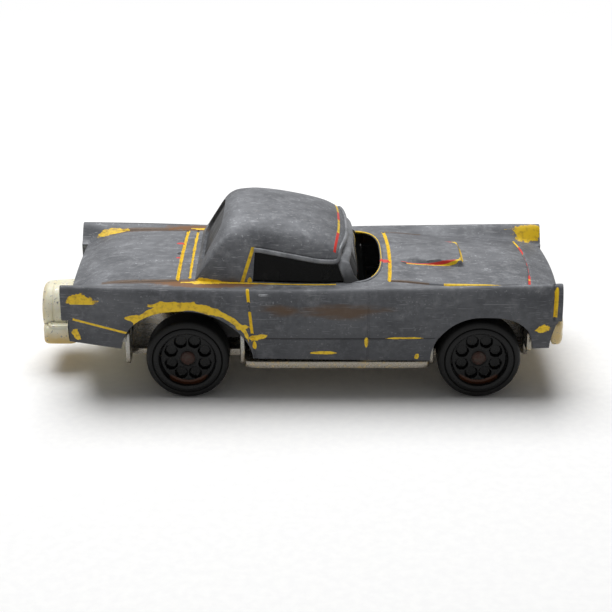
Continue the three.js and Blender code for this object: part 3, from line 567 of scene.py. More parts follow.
# side surface at x and z: rounded shoulder, straight flank, small step at the crease, tuck to the sill
def sideY(x, z):
    half, high, crease = halfAt(x), fenderZ(x), creaseZ(x)
    ridge, drop = ridgeShare(x) * half, roundOff(x)
    fall = np.clip((high - z) / drop, 0, 1)
    shoulder = ridge + (half - ridge) * np.sqrt(1 - (1 - fall) ** 2)
    flank = half - 0.12 * np.clip((high - drop - z) / np.maximum(high - drop - crease, 0.1), 0, 1) ** 2
    stepIn = body["step"] * softStep((crease + 0.08 - z) / 0.26)
    tuck = (body["tuck"] - body["step"] - 0.12) * np.clip((crease - z) / (crease - 5.0), 0, 1) ** 1.4
    y = np.where(z > high - drop, shoulder, flank) - stepIn - tuck
    y = y - groove(x - door["top"] - (16.2 - z) * door["lean"], 0.15, 0.2) * softStep((16.6 - z) / 0.4)
    y = y - groove(x - door["front"], 0.15, 0.12) * softStep((16.2 - z) / 0.4)
    return y - groove(x - 35.55, 0.17, 0.25) * softStep((z - 11.8) / 0.5)


# cabin opening in plan: square at the rear, a round D at the windscreen
def cabinHalfAt(x):
    rearShare = np.clip((body["cabinSquare"] - x) / (body["cabinSquare"] - body["cabinRear"]), 0, 1)
    frontShare = np.clip((x - body["cabinRound"]) / (body["cabinFront"] - body["cabinRound"]), 0, 1)
    return body["cabinHalf"] * (1 - rearShare ** 7) ** (1 / 7) * (1 - frontShare ** 2.8) ** (1 / 2.8)


def stationsOf(start, end, step, marks, reach, fine):
    xs = [np.arange(start, end, step), [end]]
    for mark in marks:
        xs.append(np.arange(mark - reach, mark + reach, fine))
    for arch, axleX in ((rearArch, axles["rear"]), (frontArch, axles["front"])):
        turn = np.linspace(0, math.pi, 90)
        xs.append(axleX + np.where(np.cos(turn) < 0, arch["back"], arch["front"]) * np.cos(turn) * 0.99999)
    quarter = np.sin(np.linspace(0, math.pi / 2, 60)) * 0.99999
    xs.append(body["cabinRound"] + (body["cabinFront"] - body["cabinRound"]) * quarter)
    xs.append(body["cabinSquare"] + (body["cabinRear"] - body["cabinSquare"]) * quarter)
    xs = np.unique(np.clip(np.concatenate(xs), start, end))
    return xs[np.concatenate([[True], np.diff(xs) > 0.012])]


# body skin in the columns of one half: crown, ramp, then down the flank to the lip and in under it
def bodyHalf(x, sign):
    x = x[:, None]
    half = halfAt(x)
    valley, ridge = 0.72 * half, ridgeShare(x) * half
    marks = [np.linspace(0, 0.36, 9), np.linspace(0.37, 0.43, 9),
             np.linspace(0.45, 0.84, 9), np.linspace(0.855, 1.0, 22)]
    crownY = valley * np.concatenate(marks)[None, :]
    ramp = np.concatenate([np.linspace(0.02, 0.4, 16), np.linspace(0.45, 1, 12)])
    rampY = valley + (ridge - valley) * ramp[None, :]
    y = np.concatenate([crownY, rampY], 1)
    inCabin = (x > body["cabinRear"]) & (x < body["cabinFront"])
    y = np.where(inCabin, np.maximum(y, cabinHalfAt(x)), y)
    topPoints = np.stack([np.broadcast_to(x, y.shape), sign * y, topZ(x, y, sign * y)], -1)
    high, drop, crease = fenderZ(x), roundOff(x), creaseZ(x)
    turn = np.linspace(0.04, 1, 14)[None, :] * math.pi / 2
    roundZ = high - drop * (1 - np.cos(turn))
    flankZ = (high - drop) + (crease + 0.12 - high + drop) * np.linspace(0.1, 1, 12)[None, :]
    stepZ = crease + 0.12 - np.linspace(0.04, 0.36, 7)[None, :]
    lowZ = (crease - 0.24) + (5.0 - crease + 0.24) * np.linspace(0.08, 1, 14)[None, :]
    edge = lowerZ(x)
    edge = np.maximum(edge, np.where(x > 35.15, 7.8 + 4.25 * np.clip((x - 35.15) / 1.05, 0, 1) ** 0.6, edge))
    z = np.maximum(np.concatenate([roundZ, flankZ, stepZ, lowZ], 1), edge)
    sidePoints = np.stack([np.broadcast_to(x, z.shape), sign * sideY(x, z), z], -1)
    lipY = sideY(x, edge) - np.array([0.1, 0.28, 0.7, 1.15, 1.2])[None, :] * body["lip"] / 1.15
    lipZ = edge + np.array([-0.09, -0.12, -0.12, -0.05, 2.6])[None, :]
    lipPoints = np.stack([np.broadcast_to(x, lipY.shape), sign * lipY, lipZ], -1)
    return np.concatenate([topPoints, sidePoints, lipPoints], 1)


grooveMarks = [deck["lid"], deck["second"], hood["rear"] + 0.2, hood["front"] + 0.4, -6.9, door["front"], 35.55, 23.4]
bodyX = stationsOf(body["deckRear"], body["noseLip"], 0.5, grooveMarks, 0.7, 0.1)
skin = [bodyHalf(bodyX, 1), bodyHalf(bodyX, -1)]


# end pod of a fin or headlamp: the body's own outline on one side, closed inside, drawn in over rounded rings
def endPod(xFrom, xTo, sign, footZ, edge, lens):
    x = np.array([xFrom])[:, None]
    half = halfAt(x)
    valley, ridge = 0.72 * half, ridgeShare(x) * half
    rampY = ridge - (ridge - valley) * np.linspace(0, 1, 18)[None, :]
    inner = np.stack([sign * rampY[0], topZ(x, rampY, sign * rampY)[0]], -1)
    sideZ = np.linspace(float(footZ), float(fenderZ(x)[0, 0]) - 0.01, 26)[None, :]
    outer = np.stack([sign * sideY(x, sideZ)[0], sideZ[0]], -1)
    down = np.linspace(inner[-1, 1], footZ, 10)[1:]
    wall = np.stack([np.full(9, inner[-1, 0]), down], -1)
    under = np.stack([np.linspace(wall[-1, 0], outer[0, 0], 8)[1:-1], np.full(6, footZ)], -1)
    ring = np.concatenate([outer, inner, wall, under])
    middle = np.array([(ring[:, 0].max() + ring[:, 0].min()) / 2, (ring[:, 1].max() + ring[:, 1].min()) / 2])
    way = 1.0 if xTo > xFrom else -1.0
    turn = np.linspace(0, math.pi / 2, 6)
    depth = np.concatenate([[xFrom], xTo - way * edge * (1 - np.sin(turn)), xTo + way * np.array(lens)[:, 1]])
    pull = np.concatenate([[0], edge * (1 - np.cos(turn)), np.array(lens)[:, 0]])
    size = np.linalg.norm(ring - middle, axis=1)
    shrink = np.maximum(1 - pull[:, None] / size.max(), 0)
    yz = middle + (ring - middle)[None] * shrink[..., None]
    return np.concatenate([np.broadcast_to(depth[:, None, None], yz.shape[:2] + (1,)), yz], -1), False, True


lampLens = [[0.5, 0.0], [0.75, 0.0], [0.9, -0.25], [1.1, -0.28], [1.5, -0.12], [2.0, 0.0], [2.6, 0.06], [9.0, 0.08]]
tailLens = [[0.4, 0.0], [0.6, 0.0], [0.75, -0.2], [1.0, -0.2], [1.6, -0.12], [2.4, -0.06], [9.0, -0.05]]
pods = [endPod(body["deckRear"], body["tail"], s, 12.1, 0.16, tailLens) for s in (1, -1)]
pods += [endPod(body["noseLip"], body["nose"], s, 12.0, 0.16, lampLens) for s in (1, -1)]


# upright panel that closes the tail below the deck edge, and the rolled front under the nose
def endPanel(x, bulge, footZ, podFoot, way):
    span = np.concatenate([np.linspace(0, 0.72, 30), np.linspace(0.7201, 0.985, 14)])
    y = np.concatenate([-span[::-1], span[1:]])[None, :] * halfAt(np.array([x]))
    share = np.linspace(0, 1, 26)[:, None]
    top = np.where(np.abs(y) <= 0.72 * halfAt(np.array([x])) + 1e-6, topZ(np.full_like(y, x), np.abs(y), y), podFoot)
    z = top + (footZ - top) * share
    limit = np.sign(y) * np.minimum(np.abs(y), sideY(np.full_like(z, x), z) - 0.02)
    push = way * bulge * np.sin(math.pi * np.clip(share * 1.02, 0, 1)) ** 0.6
    return np.stack([x + push + 0 * z, limit, z], -1)


panels = [endPanel(body["deckRear"], 0.12, 8.75, 12.1, -1)]


def frontPanel():
    x = body["noseLip"]
    y = np.linspace(-1, 1, 61)[None, :] * 0.72 * halfAt(np.array([x]))
    turn = np.linspace(0, math.pi, 14)[:, None]
    top = topZ(np.full_like(y, x), np.abs(y), y)
    low = 13.25
    z = (top + low) / 2 + (top - low) / 2 * np.cos(turn)
    bow = 0.3 + 0.6 * (1 - (y / 10.0) ** 2)
    roll = np.stack([x + bow * np.sin(turn), y + 0 * turn, z], -1)
    inward = np.stack([x - 1.9 + 0 * y, y, low + 0 * y], -1)
    return np.concatenate([roll, inward], 0)


def frontCheek(sign):
    z = np.linspace(7.8, 12.05, 18)[:, None]
    t = np.linspace(0, 1, 14)[None, :]
    x = 35.15 + 0.4 * softStep((z - 9.8) / 1.2) + 0.65 * softStep((z - 11.0) / 1.2)
    outer = sideY(x, z) - 0.02
    y = 8.9 + (outer - 8.9) * t
    face = np.stack([x + 0 * t, sign * y, z + 0 * t], -1)
    back = np.stack([x - 1.6, sign * np.full_like(x, 8.9), z], -1)
    return np.concatenate([back, face], 1)


# solid corner behind each front cheek, between grille, headlamp and nose
def cornerBlock(sign):
    inner = np.array([[33.4, 8.55, 11.4], [35.5, 8.55, 11.4], [35.9, 8.55, 13.5], [33.4, 8.55, 13.5]])
    outer = inner + [0.0, 1.9, 0.0]
    ring = np.stack([np.tile(inner.mean(0), (4, 1)), inner, outer, np.tile(outer.mean(0), (4, 1))])
    return ring * [1, sign, 1], False, True


nose = [frontPanel(), frontCheek(1), frontCheek(-1), cornerBlock(1), cornerBlock(-1)]
addPiece("bodySkin", skin + pods + panels + nose, zinc, sharp=34,
         stands=("body_casting",))

# hardtop: boxy crown from centre to drip rail, straight tuck down to the belt
roof = {
    "line": [[-14.7, 17.2], [-12.6, 21.2], [-10.9, 24.1], [-9.6, 25.15], [-8, 25.5], [-6.2, 25.6],
             [-2.2, 25.2], [2.9, 24.0], [5.2, 22.75], [6.9, 20.9]],
    "rail": [[-14.7, 16.8], [-12.6, 19.4], [-10.5, 21.1], [-6.5, 21.5], [-3.5, 21], [0, 20.3],
             [2.8, 19.75], [5.2, 19.6], [6.9, 19.4]],
    "railHalf": [[-14.7, 9.9], [-6, 9.55], [3, 9.45], [5.2, 9.3], [6.9, 8.9]],
    "belt": 16.0, "beltHalf": 10.65, "power": 2.6, "rear": -14.7, "front": 6.6, "corner": 5.35, "skin": 0.75,
    "windowRear": -6.62, "windowTop": -6.3,
}
roofZ, railZ, railY = curve(roof["line"]), curve(roof["rail"]), curve(roof["railHalf"])


# lower edge of the roof: belt behind the door glass, steep up the post, then just under the rail
def roofEdge(x):
    post = roof["belt"] + 0.4 + (x - roof["windowRear"]) / (roof["windowTop"] - roof["windowRear"]) * 4.6
    rail = railZ(x) - 0.32
    return np.where(x < roof["windowRear"], roof["belt"], np.minimum(post, rail))


def rearOpening(x):
    mid, reach = -12.55, 1.62
    share = np.clip(np.abs(x - mid) / reach, 0, 1)
    wide = 6.7 - 0.75 * (x - mid) / reach
    return np.where(share < 1, wide * (1 - share ** 5) ** (1 / 5), 0)


def crownZ(x, y, sink=0.0):
    rail, wide = railZ(x) - 0.4 * sink, railY(x) - sink
    share = np.clip(np.abs(y) / wide, 0, 1)
    return rail + (roofZ(x) - sink - rail) * (1 - share ** roof["power"]) ** (1 / roof["power"])


def roofHalf(u, sign):
    turn = np.concatenate([np.linspace(0, 0.55, 12), np.linspace(0.6, 1, 22)]) * math.pi / 2
    share = np.sin(turn) ** (2 / roof["power"])
    count = 22
    column = np.concatenate([share, np.ones(count + 5)])[None, :]
    front = roof["front"] - (roof["front"] - roof["corner"]) * column ** 2.8
    x = np.where(u[:, None] > 0, u[:, None] * front / roof["front"], u[:, None])
    y = column[:, :len(share)] * railY(x[:, :len(share)])
    opening = rearOpening(x[:, :len(share)])
    y = np.maximum(y, opening)
    crown = np.stack([x[:, :len(share)], sign * y, crownZ(x[:, :len(share)], y)], -1)
    xs = x[:, len(share):len(share) + count]
    z = railZ(xs) + (roof["belt"] - railZ(xs)) * np.linspace(0.02, 1, count)[None, :]
    z = np.maximum(z, roofEdge(xs))
    down = (railZ(xs) - z) / (railZ(xs) - roof["belt"] + 0.01)
    tuckY = railY(xs) + (roof["beltHalf"] - railY(xs)) * down ** 1.15
    tuck = np.stack([xs, sign * tuckY, z], -1)
    xe, edge = x[:, -5:], roofEdge(x[:, -5:])
    downE = (railZ(xe) - edge) / (railZ(xe) - roof["belt"] + 0.01)
    edgeY = railY(xe) + (roof["beltHalf"] - railY(xe)) * downE ** 1.15
    lipY = edgeY - np.array([0.05, 0.18, 0.45, 0.75, 0.78])[None, :]
    lipZ = edge + np.array([-0.05, -0.08, -0.08, -0.02, 0.6])[None, :]
    lip = np.stack([xe, sign * lipY, lipZ], -1)
    return np.concatenate([crown, tuck, lip], 1)


def roofStations():
    xs = [np.linspace(roof["rear"], roof["front"], 90),
          np.linspace(roof["windowRear"] - 0.12, roof["windowTop"] + 0.12, 40)]
    xs.append(-12.55 + 1.62 * np.cos(np.linspace(0, math.pi, 60)) * 0.99999)
    xs = np.unique(np.concatenate(xs))
    return xs[np.concatenate([[True], np.diff(xs) > 0.004])]


def sunkEdge(grid, way):
    edge = grid[-1]
    inward = edge.copy()
    inward[:, 0] += way * 0.25
    inward[:, 2] -= 0.75
    return np.stack([edge, inward])


roofGrids = [roofHalf(roofStations(), s) for s in (1, -1)]
roofGrids += [sunkEdge(grid[:, :34], -1) for grid in roofGrids[:2]]


# thickness of the roof round the rear window
def rearReveal():
    turn = np.linspace(0, 2 * math.pi, 160)
    x = -12.55 + 1.62 * np.sign(np.cos(turn)) * np.abs(np.cos(turn)) ** 0.4
    y = (6.7 - 0.75 * (x + 12.55) / 1.62) * np.sign(np.sin(turn)) * np.abs(np.sin(turn)) ** 0.4
    ring = np.stack([x, y, crownZ(x, y)], -1)
    return np.stack([ring, ring + [0.8, 0, -0.5]])


roofGrids.append(rearReveal())
addPiece("hardtop", roofGrids, roofZinc, sharp=40, turnOut=True)


# block with rounded edges: |u|^n + |v|^n + |w|^n = 1 mapped to its half sizes
def softBox(x0, x1, y0, y1, z0, z1, power=9.0, count=16):
    lon = np.linspace(-math.pi, math.pi, count * 2 + 1)[None, :]
    lat = np.linspace(-math.pi / 2, math.pi / 2, count + 1)[:, None]

    def bend(v):
        return np.sign(v) * np.abs(v) ** (2 / power)
    x = bend(np.cos(lat)) * bend(np.cos(lon))
    y = bend(np.cos(lat)) * bend(np.sin(lon))
    z = bend(np.sin(lat)) + 0 * lon
    mid = np.array([(x0 + x1) / 2, (y0 + y1) / 2, (z0 + z1) / 2])
    half = np.array([(x1 - x0) / 2, (y1 - y0) / 2, (z1 - z0) / 2])
    return mid + half * np.stack([x, y, z], -1)


# round or oval section carried along a path; side gives the section's first direction at every point
def sweep(path, side, wide, thick, count=14, power=2.0):
    path = np.asarray(path, float)
    run = np.gradient(path, axis=0)
    run /= np.linalg.norm(run, axis=1)[:, None]
    side = side - run * np.sum(side * run, 1)[:, None]
    side /= np.linalg.norm(side, axis=1)[:, None]
    up = np.cross(run, side)
    turn = np.linspace(0, 2 * math.pi, count, endpoint=False)
    a = np.sign(np.cos(turn)) * np.abs(np.cos(turn)) ** (2 / power)
    b = np.sign(np.sin(turn)) * np.abs(np.sin(turn)) ** (2 / power)
    wide, thick = np.broadcast_to(wide, len(path)), np.broadcast_to(thick, len(path))
    across = side[:, None] * (wide[:, None] * a)[..., None]
    rings = path[:, None] + across + up[:, None] * (thick[:, None] * b)[..., None]
    ends = [np.repeat(path[:1, None], count, 1), rings, np.repeat(path[-1:, None], count, 1)]
    return np.concatenate(ends), False, True


# evenly spaced points along a path, rounded off at its corners
def eased(path, count, rounds):
    run = np.concatenate([[0], np.cumsum(np.linalg.norm(np.diff(path, axis=0), axis=1))])
    s = np.linspace(0, run[-1], count)
    path = np.stack([np.interp(s, run, path[:, k]) for k in range(3)], -1)
    for _ in range(rounds):
        path[1:-1] = (path[:-2] + 2 * path[1:-1] + path[2:]) / 4
    return path


# drip rail: a bead along the roof's lower edge from the post forward and round the front
def railPath():
    x = np.linspace(-6.4, roof["corner"], 60)
    side = np.stack([x, -railY(x) - 0.16, railZ(x) - 0.2], -1)
    y = np.linspace(-railY(roof["corner"]), railY(roof["corner"]), 60)[2:-2]
    share = np.abs(y) / railY(roof["corner"])
    hx = roof["front"] - (roof["front"] - roof["corner"]) * share ** 2.8
    head = np.stack([hx + 0.08, y, crownZ(hx, y * railY(hx) / railY(roof["corner"])) - 0.1], -1)
    return eased(np.concatenate([side, head, side[::-1] * [1, -1, 1]]), 260, 10)


rail = railPath()
outward = np.cross(np.gradient(rail, axis=0), [0.0, 0.0, 1.0])
addPiece("dripRail", [sweep(rail, outward, 0.3, 0.36, 14)], railZinc, sharp=60)

# windscreen frame: up one pillar, across under the roof's front edge, down the other
screen = {"foot": 7.6, "footHalf": 10.35, "head": 6.1, "headHalf": 9.0,
          "footZ": 15.9, "cornerZ": 19.15, "wide": 0.85, "thick": 0.36}


def framePath():
    s = screen
    t = np.linspace(0, 1, 24)
    lift = np.stack([s["foot"] + (s["head"] - s["foot"]) * t ** 0.8,
                     -s["footHalf"] + (s["footHalf"] - s["headHalf"]) * t,
                     s["footZ"] + (s["cornerZ"] - s["footZ"]) * t], -1)
    y = np.linspace(-s["headHalf"], s["headHalf"], 46)[3:-3]
    share = np.abs(y) / s["headHalf"]
    cross = np.stack([s["head"] + 0.75 * (1 - share ** 2.5), y, s["cornerZ"] + 0.2 + 1.0 * (1 - share ** 2.4)], -1)
    return eased(np.concatenate([lift, cross, lift[::-1] * [1, -1, 1]]), 200, 12)


framed = framePath()
forward = np.tile([1.0, 0.0, -0.35], (len(framed), 1))
flare = screen["wide"] * (1 + 0.5 * np.clip((17.2 - framed[:, 2]) / 1.3, 0, 1))
addPiece("screenFrame", [sweep(framed, forward, flare, screen["thick"], 16, 3.0)], railZinc, sharp=50)

# rolled rim round the front of the cabin opening
def rimPath():
    turn = np.linspace(-math.pi / 2, math.pi / 2, 90)
    power = 2 / 2.8
    x = body["cabinRound"] + (body["cabinFront"] - body["cabinRound"]) * np.cos(turn) ** power
    y = body["cabinHalf"] * np.sign(turn) * np.abs(np.sin(turn)) ** power
    return np.stack([x, y, topZ(x, np.abs(y), y) - 0.06], -1)


rim = rimPath()
addPiece("cowlRim", [sweep(rim, np.tile([0.0, 0.0, 1.0], (len(rim), 1)), 0.2, 0.26, 12)], zinc, sharp=60)
handles = [softBox(-5.8, -4.3, 12.9, 13.48, 15.72, 16.08, 4.0, 10)]
handles.append(handles[0] * [1, -1, 1])
addPiece("doorHandles", handles, railZinc, sharp=60)

# glass: windscreen ruled from the frame to a rounded base and bulged; flat sides; curved rear pane
glass = {"base": 9.7, "baseHalf": 10.1, "back": 7.2, "bulge": 0.2}


def screenGlass():
    s = np.linspace(-1, 1, 61)[None, :]
    t = np.linspace(0, 1, 24)[:, None]
    share = np.abs(s)
    head = np.stack([screen["head"] + 0.1 + 0.75 * (1 - share ** 2.5), screen["headHalf"] * s,
                     screen["cornerZ"] + 0.15 + 1.0 * (1 - share ** 2.4)], -1)
    turn = s * math.pi / 2
    wrapX = glass["back"] + (glass["base"] - glass["back"]) * np.cos(turn) ** (2 / 2.8)
    wrapY = glass["baseHalf"] * np.sign(turn) * np.abs(np.sin(turn)) ** (2 / 2.8)
    foot = np.stack([wrapX, wrapY, 14.9 + 0 * s], -1)
    outward = np.stack([np.cos(turn), 0.5 * np.sin(turn), 0.7 + 0 * s], -1)
    swell = (4 * t * (1 - t) * glass["bulge"])[..., None] * outward
    return head + (foot - head) * t[..., None] + swell


def sideGlass(sign):
    x = np.linspace(-7.4, 6.3, 30)[None, :]
    t = np.linspace(0, 1, 14)[:, None]
    z = 15.7 + (railZ(x) - 0.35 - 15.7) * t
    y = roof["beltHalf"] - 0.95 - 0.205 * (z - 16)
    return np.stack([x + 0 * z, sign * y, z], -1)


def rearGlass():
    x = np.linspace(-14.7, -10.2, 24)[:, None]
    y = np.linspace(-8.6, 8.6, 33)[None, :]
    return np.stack([x + 0.42 + 0 * y, y + 0 * x, crownZ(x, y) - 0.2 - 2.5 * (x < -14.6)], -1)


addPiece("windowGlass", [screenGlass(), sideGlass(1), sideGlass(-1)], smoke,
         stands=("window_insert",), turnOut=False)


def dustyMaterial():
    material, shader, pos = newMaterial("dustyPlastic", {"Specular IOR Level": 0.08})
    streak = pos.noise(0.6, 5.0, 0.6, (1.0, 2.2, 0.6))
    base = streak.step(0.35, 0.75).tint(colour(0.02, 0.02, 0.021), colour(0.12, 0.122, 0.125))
    feed(shader, Base_Color=base, Roughness=0.45 + streak * 0.2)
    relief(shader, streak, 0.1, 0.0001)
    return material


addPiece("rearPane", [rearGlass()], dustyMaterial(), turnOut=False)


# profile of radius and place along the axis, turned round the car's length or across it
def turned(profile, centre, axis, count=96):
    radius, place = np.array(profile, float).T
    turn = np.linspace(0, 2 * math.pi, count, endpoint=False)[None, :]
    a, b = radius[:, None] * np.cos(turn), radius[:, None] * np.sin(turn)
    s = place[:, None] + 0 * turn
    points = np.stack([s, a, b] if axis == "x" else [a, s, b], -1)
    return points + np.array(centre), False, True


def rounded(profile, count):
    points = np.array(profile, float)
    run = np.concatenate([[0], np.cumsum(np.linalg.norm(np.diff(points, axis=0), axis=1))])
    s = np.linspace(0, run[-1], count)
    return np.stack([np.interp(s, run, points[:, 0]), np.interp(s, run, points[:, 1])], -1)


# spare-wheel cover, bumper block under it, front bumper, grille bars, pan, sills and wheel-well walls
base = {"coverHeight": 8.6, "coverRear": -37.8, "coverFront": -32.6, "bottom": 4.45, "top": 5.6}
coverProfile = [[0, -37.55], [1.6, -37.58], [1.75, -37.72], [2.6, -37.8], [3.1, -37.78], [3.5, -37.6],
                [3.76, -37.25], [3.86, -36.9], [3.9, -36.4], [3.9, -36.2], [3.82, -36.12], [3.82, -36.02],
                [3.92, -35.95], [4.02, -34.4], [4.12, -32.62], [0, -32.62]]
baseGrids = [turned(coverProfile, [0, 0, base["coverHeight"]], "x")]
baseGrids.append(softBox(-37.7, -32.6, -5, 5, 4.4, 7.4, 7.0, 24))
baseGrids.append(softBox(-37.05, -33, -4.9, 4.9, 6.9, 7.7, 6.0))


# bumper: rounded section with a shallow groove, swept across the car and bowed forward
def bumperBar():
    y = np.sin(np.linspace(-math.pi / 2, math.pi / 2, 81)) * 12.5
    turn = np.linspace(0, 2 * math.pi, 48, endpoint=False)[None, :]
    share = np.abs(y)[:, None] / 12.5
    cap = (1 - share ** 14) ** (1 / 6)
    bow = 37.8 - 0.45 * share ** 2 - 0.35 * share ** 8
    deep = 0.68 + 0.3 * share ** 6
    cosT, sinT = np.cos(turn), np.sin(turn)
    bx = np.sign(cosT) * np.abs(cosT) ** (2 / 3.4)
    bz = np.sign(sinT) * np.abs(sinT) ** (2 / 3.4)
    dent = 0.14 * np.exp(-((bz - 0.1) / 0.16) ** 2) * (cosT > 0)
    x = bow - deep + deep * (bx - dent) * cap
    z = 9.3 + 0.35 * share ** 4 + 2.0 * bz * cap
    return np.stack([x, y[:, None] + 0 * x, z], -1), False, True


baseGrids.append(bumperBar())
for k in range(9):
    y = -8.6 + 17.2 / 9 * (k + 0.5)
    baseGrids.append(softBox(34.5, 35.3, y - 0.28, y + 0.28, 8.7, 12.6, 5.0, 8))
baseGrids.append(softBox(34.2, 34.8, -8.6, 8.6, 7.2, 12.9, 14.0))
baseGrids.append(softBox(32.2, 36.6, -8.6, 8.6, 6.9, 7.8, 10.0))
baseGrids.append(softBox(-24.8, 32.85, -8.5, 8.5, 4.45, 5.6, 16.0))
baseGrids.append(softBox(-32.6, -24.1, -9.4, 9.4, 6.9, 7.8, 12.0))
baseGrids.append(softBox(-24.8, -24.1, -8.6, 8.6, 4.5, 7.8, 12.0))
baseGrids.append(softBox(32.15, 32.85, -8.6, 8.6, 4.5, 7.8, 12.0))
for s in (1, -1):
    low, high = (8.0, 12.9) if s > 0 else (-12.9, -8.0)
    baseGrids.append(softBox(-7.9, 18.4, low, high, 4.45, 5.6, 12.0))
    for wallX in (-24.8, -8.5, 18.4, 32.15):
        inner, outer = (8.4, 11.55) if s > 0 else (-11.55, -8.4)
        baseGrids.append(softBox(wallX, wallX + 0.7, inner, outer, 6.5 if wallX > 30 else 4.5, 9.4, 8.0))
    for axleX in (axles["rear"], axles["front"]):
        inner, outer = (5.4, 8.5) if s > 0 else (-8.5, -5.4)
        baseGrids.append(softBox(axleX - 1.3, axleX - 0.66, inner, outer, 4.6, 7.4, 10.0, 8))
        baseGrids.append(softBox(axleX + 0.66, axleX + 1.3, inner, outer, 4.6, 7.4, 10.0, 8))
addPiece("baseMoulding", baseGrids, cream, sharp=50, stands=("base_moulding",))

# peened post heads, seen from below only
headShape = np.array([[0, -0.05], [1.5, 0], [2.1, 0.35], [2.1, 0.55], [0, 0.6]])
heads = [turned(rounded((headShape + [0, foot]).tolist(), 24)[:, [0, 1]], [0, 0, 0], "x", 40)
         for foot in (7.0, 4.55)]
posts = []
for (points, _, _), postX in zip(heads, (-27.8, 29.6)):
    posts.append((points[..., [1, 2, 0]] + np.array([postX, 0, 0]), False, True))
addPiece("postHeads", posts, roofZinc, sharp=50)

# wheel: tread, round shoulder, groove, ring, dished hub with round holes; built on +Y and mirrored
wheel = {"radius": 5.9, "inner": 9.2, "face": 13.4, "hub": 12.2, "holes": 8, "ring": 2.57, "hole": 0.84, "deep": 0.65}
wheelProfile = [[0.66, 8.7], [1.5, 8.7], [1.5, 9.2], [4.0, 9.2], [5.3, 9.22], [5.72, 9.36], [5.88, 9.62],
                [5.9, 10.0], [5.9, 12.3], [5.86, 12.7], [5.7, 13.02], [5.45, 13.22], [5.15, 13.32],
                [5.02, 13.3], [4.95, 13.12], [4.86, 13.12], [4.8, 13.32], [4.6, 13.4], [4.3, 13.4],
                [4.1, 13.34], [3.98, 13.15], [3.9, 12.6], [3.82, 12.28], [3.7, 12.2], [1.25, 12.2],
                [1.15, 12.3], [0.66, 12.3], [0.66, 8.7]]


def wheelGrid(axleX, sign):
    profile = rounded(wheelProfile, 150)
    turn = np.linspace(0, 2 * math.pi, 192, endpoint=False)[None, :]
    radius, place = profile[:, :1], profile[:, 1:]
    a, b = radius * np.cos(turn), radius * np.sin(turn)
    step = 2 * math.pi / wheel["holes"]
    phase = (turn + math.pi / 8 + step / 2) % step - step / 2
    gap = np.hypot(radius * np.cos(phase) - wheel["ring"], radius * np.sin(phase))
    onHub = (place > 11.9) & (radius < 3.75) & (radius > 1.3)
    y = place - onHub * wheel["deep"] * softStep((wheel["hole"] + 0.1 - gap) / 0.2)
    return np.stack([axleX + a, sign * y, axles["height"] + b], -1), False, True


for name, axleX, sign, rider in (("wheel_front_left", axles["front"], 1, "front_left_wheel"),
                                 ("wheel_front_right", axles["front"], -1, "front_right_wheel"),
                                 ("wheel_rear_left", axles["rear"], 1, "rear_left_wheel"),
                                 ("wheel_rear_right", axles["rear"], -1, "rear_right_wheel")):
    grid = wheelGrid(axleX, sign)
    made = addPiece(name.replace("wheel_", "wheelLook_"), [grid], wheelBlack, rider, 40, (name,))
    flat = np.empty(len(made.data.vertices) * 3)
    made.data.vertices.foreach_get("co", flat)
    place = flat.reshape(-1, 3) * 1000 - [axleX, 0, axles["height"]]
    for label, values in (("reach", np.hypot(place[:, 0], place[:, 2])), ("drop", -place[:, 2])):
        made.data.attributes.new(label, "FLOAT", "POINT").data.foreach_set("value", values.astype(np.float32))

axleProfile = [[0, -12.78], [0.62, -12.78], [0.95, -12.6], [1.05, -12.4], [1.05, -12.28], [0.6, -12.28],
               [0.6, 12.28], [1.05, 12.28], [1.05, 12.4], [0.95, 12.6], [0.62, 12.78], [0, 12.78]]
for name, axleX, rider in (("front_axle", axles["front"], "front_axle_body"),
                           ("rear_axle", axles["rear"], "rear_axle_body")):
    wire = turned(axleProfile, [axleX, 0, axles["height"]], "y", 40)
    addPiece(name + "_wire", [wire], rustyWire, rider, 40, (name,))
print("pieces made")

# floor, light and camera at the photo's view
studio = {"floor": colour(0.9, 0.9, 0.9), "lamp": 3.6, "world": 0.16, "elevation": 23.32,
          "distance": 0.2284, "lens": 90.4, "aim": (0.00087, 0.0, 0.0086), "fadeStart": 110.0, "fadeEnd": 260.0}


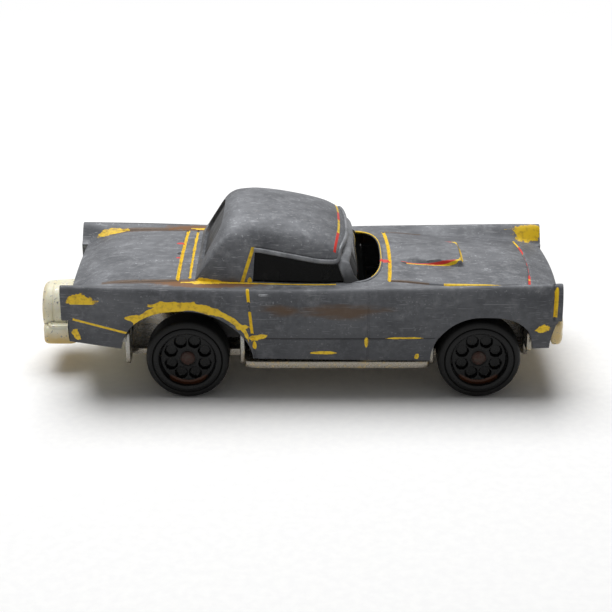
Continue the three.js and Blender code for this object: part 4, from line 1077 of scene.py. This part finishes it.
# pale floor that takes the shadow near the car and fades to plain white further out, for the camera alone
def floorMaterial():
    material, shader, pos = newMaterial("floor", {"Roughness": 0.9, "Specular IOR Level": 0.1})
    weave = pos.noise(0.8, 3.0)
    feed(shader, Base_Color=weave.step(0.3, 0.7).tint(studio["floor"], colour(0.93, 0.93, 0.925)))
    x, y, z = split(pos)
    far = ((x * x + y * y) ** 0.5).step(studio["fadeStart"], studio["fadeEnd"])
    seen = pos.node("ShaderNodeLightPath", {}, out="Is Camera Ray")
    glow = pos.node("ShaderNodeEmission", {"Strength": 1.0})
    tree = material.node_tree
    surface = pos.node("ShaderNodeMixShader", {0: far * seen, 1: Wire(tree, shader.outputs[0]), 2: glow})
    tree.links.new(surface.socket, tree.nodes["Material Output"].inputs["Surface"])
    return material


floorMesh = bpy.data.meshes.new("floor")
floorMesh.from_pydata([(-3, -3, 0), (3, -3, 0), (3, 3, 0), (-3, 3, 0)], [], [(0, 1, 2, 3)])
floor = bpy.data.objects.new("floor", floorMesh)
floorMesh.materials.append(floorMaterial())
bpy.context.scene.collection.objects.link(floor)

scene = bpy.context.scene
world = bpy.data.worlds.new("studio")
scene.world = world
world.use_nodes = True
sky = world.node_tree.nodes["Background"]
rays = world.node_tree.nodes.new("ShaderNodeLightPath")
seen, glossy, through = [Wire(world.node_tree, rays.outputs[ray])
                         for ray in ("Is Camera Ray", "Is Glossy Ray", "Is Transmission Ray")]
shine = glossy.top(through)
strength = seen.top(shine * 0.7) * (1.0 - studio["world"]) + studio["world"]
world.node_tree.links.new(strength.socket, sky.inputs["Strength"])
sky.inputs["Color"].default_value = (1, 1, 1, 1)


def areaLamp(name, place, aim, size, power):
    data = bpy.data.lights.new(name, "AREA")
    data.shape, data.size, data.energy = "SQUARE", size, power
    lamp = bpy.data.objects.new(name, data)
    lamp.location = place
    spin = np.array(aim, float) - np.array(place, float)
    lean = math.atan2(math.hypot(spin[0], spin[1]), -spin[2])
    lamp.rotation_euler = (lean, 0, math.atan2(spin[1], spin[0]) - math.pi / 2)
    scene.collection.objects.link(lamp)


areaLamp("keyLamp", (-0.05, 0.16, 0.5), (0, 0, 0), 0.45, studio["lamp"])

cameraData = bpy.data.cameras.new("photoView")
cameraData.lens, cameraData.sensor_width = studio["lens"], 36.0
cameraData.clip_start = 0.01
camera = bpy.data.objects.new("photoView", cameraData)
tilt = math.radians(studio["elevation"])
camera.location = (studio["aim"][0], -studio["distance"] * math.cos(tilt),
                   studio["aim"][2] + studio["distance"] * math.sin(tilt))
camera.rotation_euler = (math.pi / 2 - tilt, 0, 0)
scene.collection.objects.link(camera)
scene.camera = camera
scene.view_settings.view_transform = "Standard"
print("studio set")
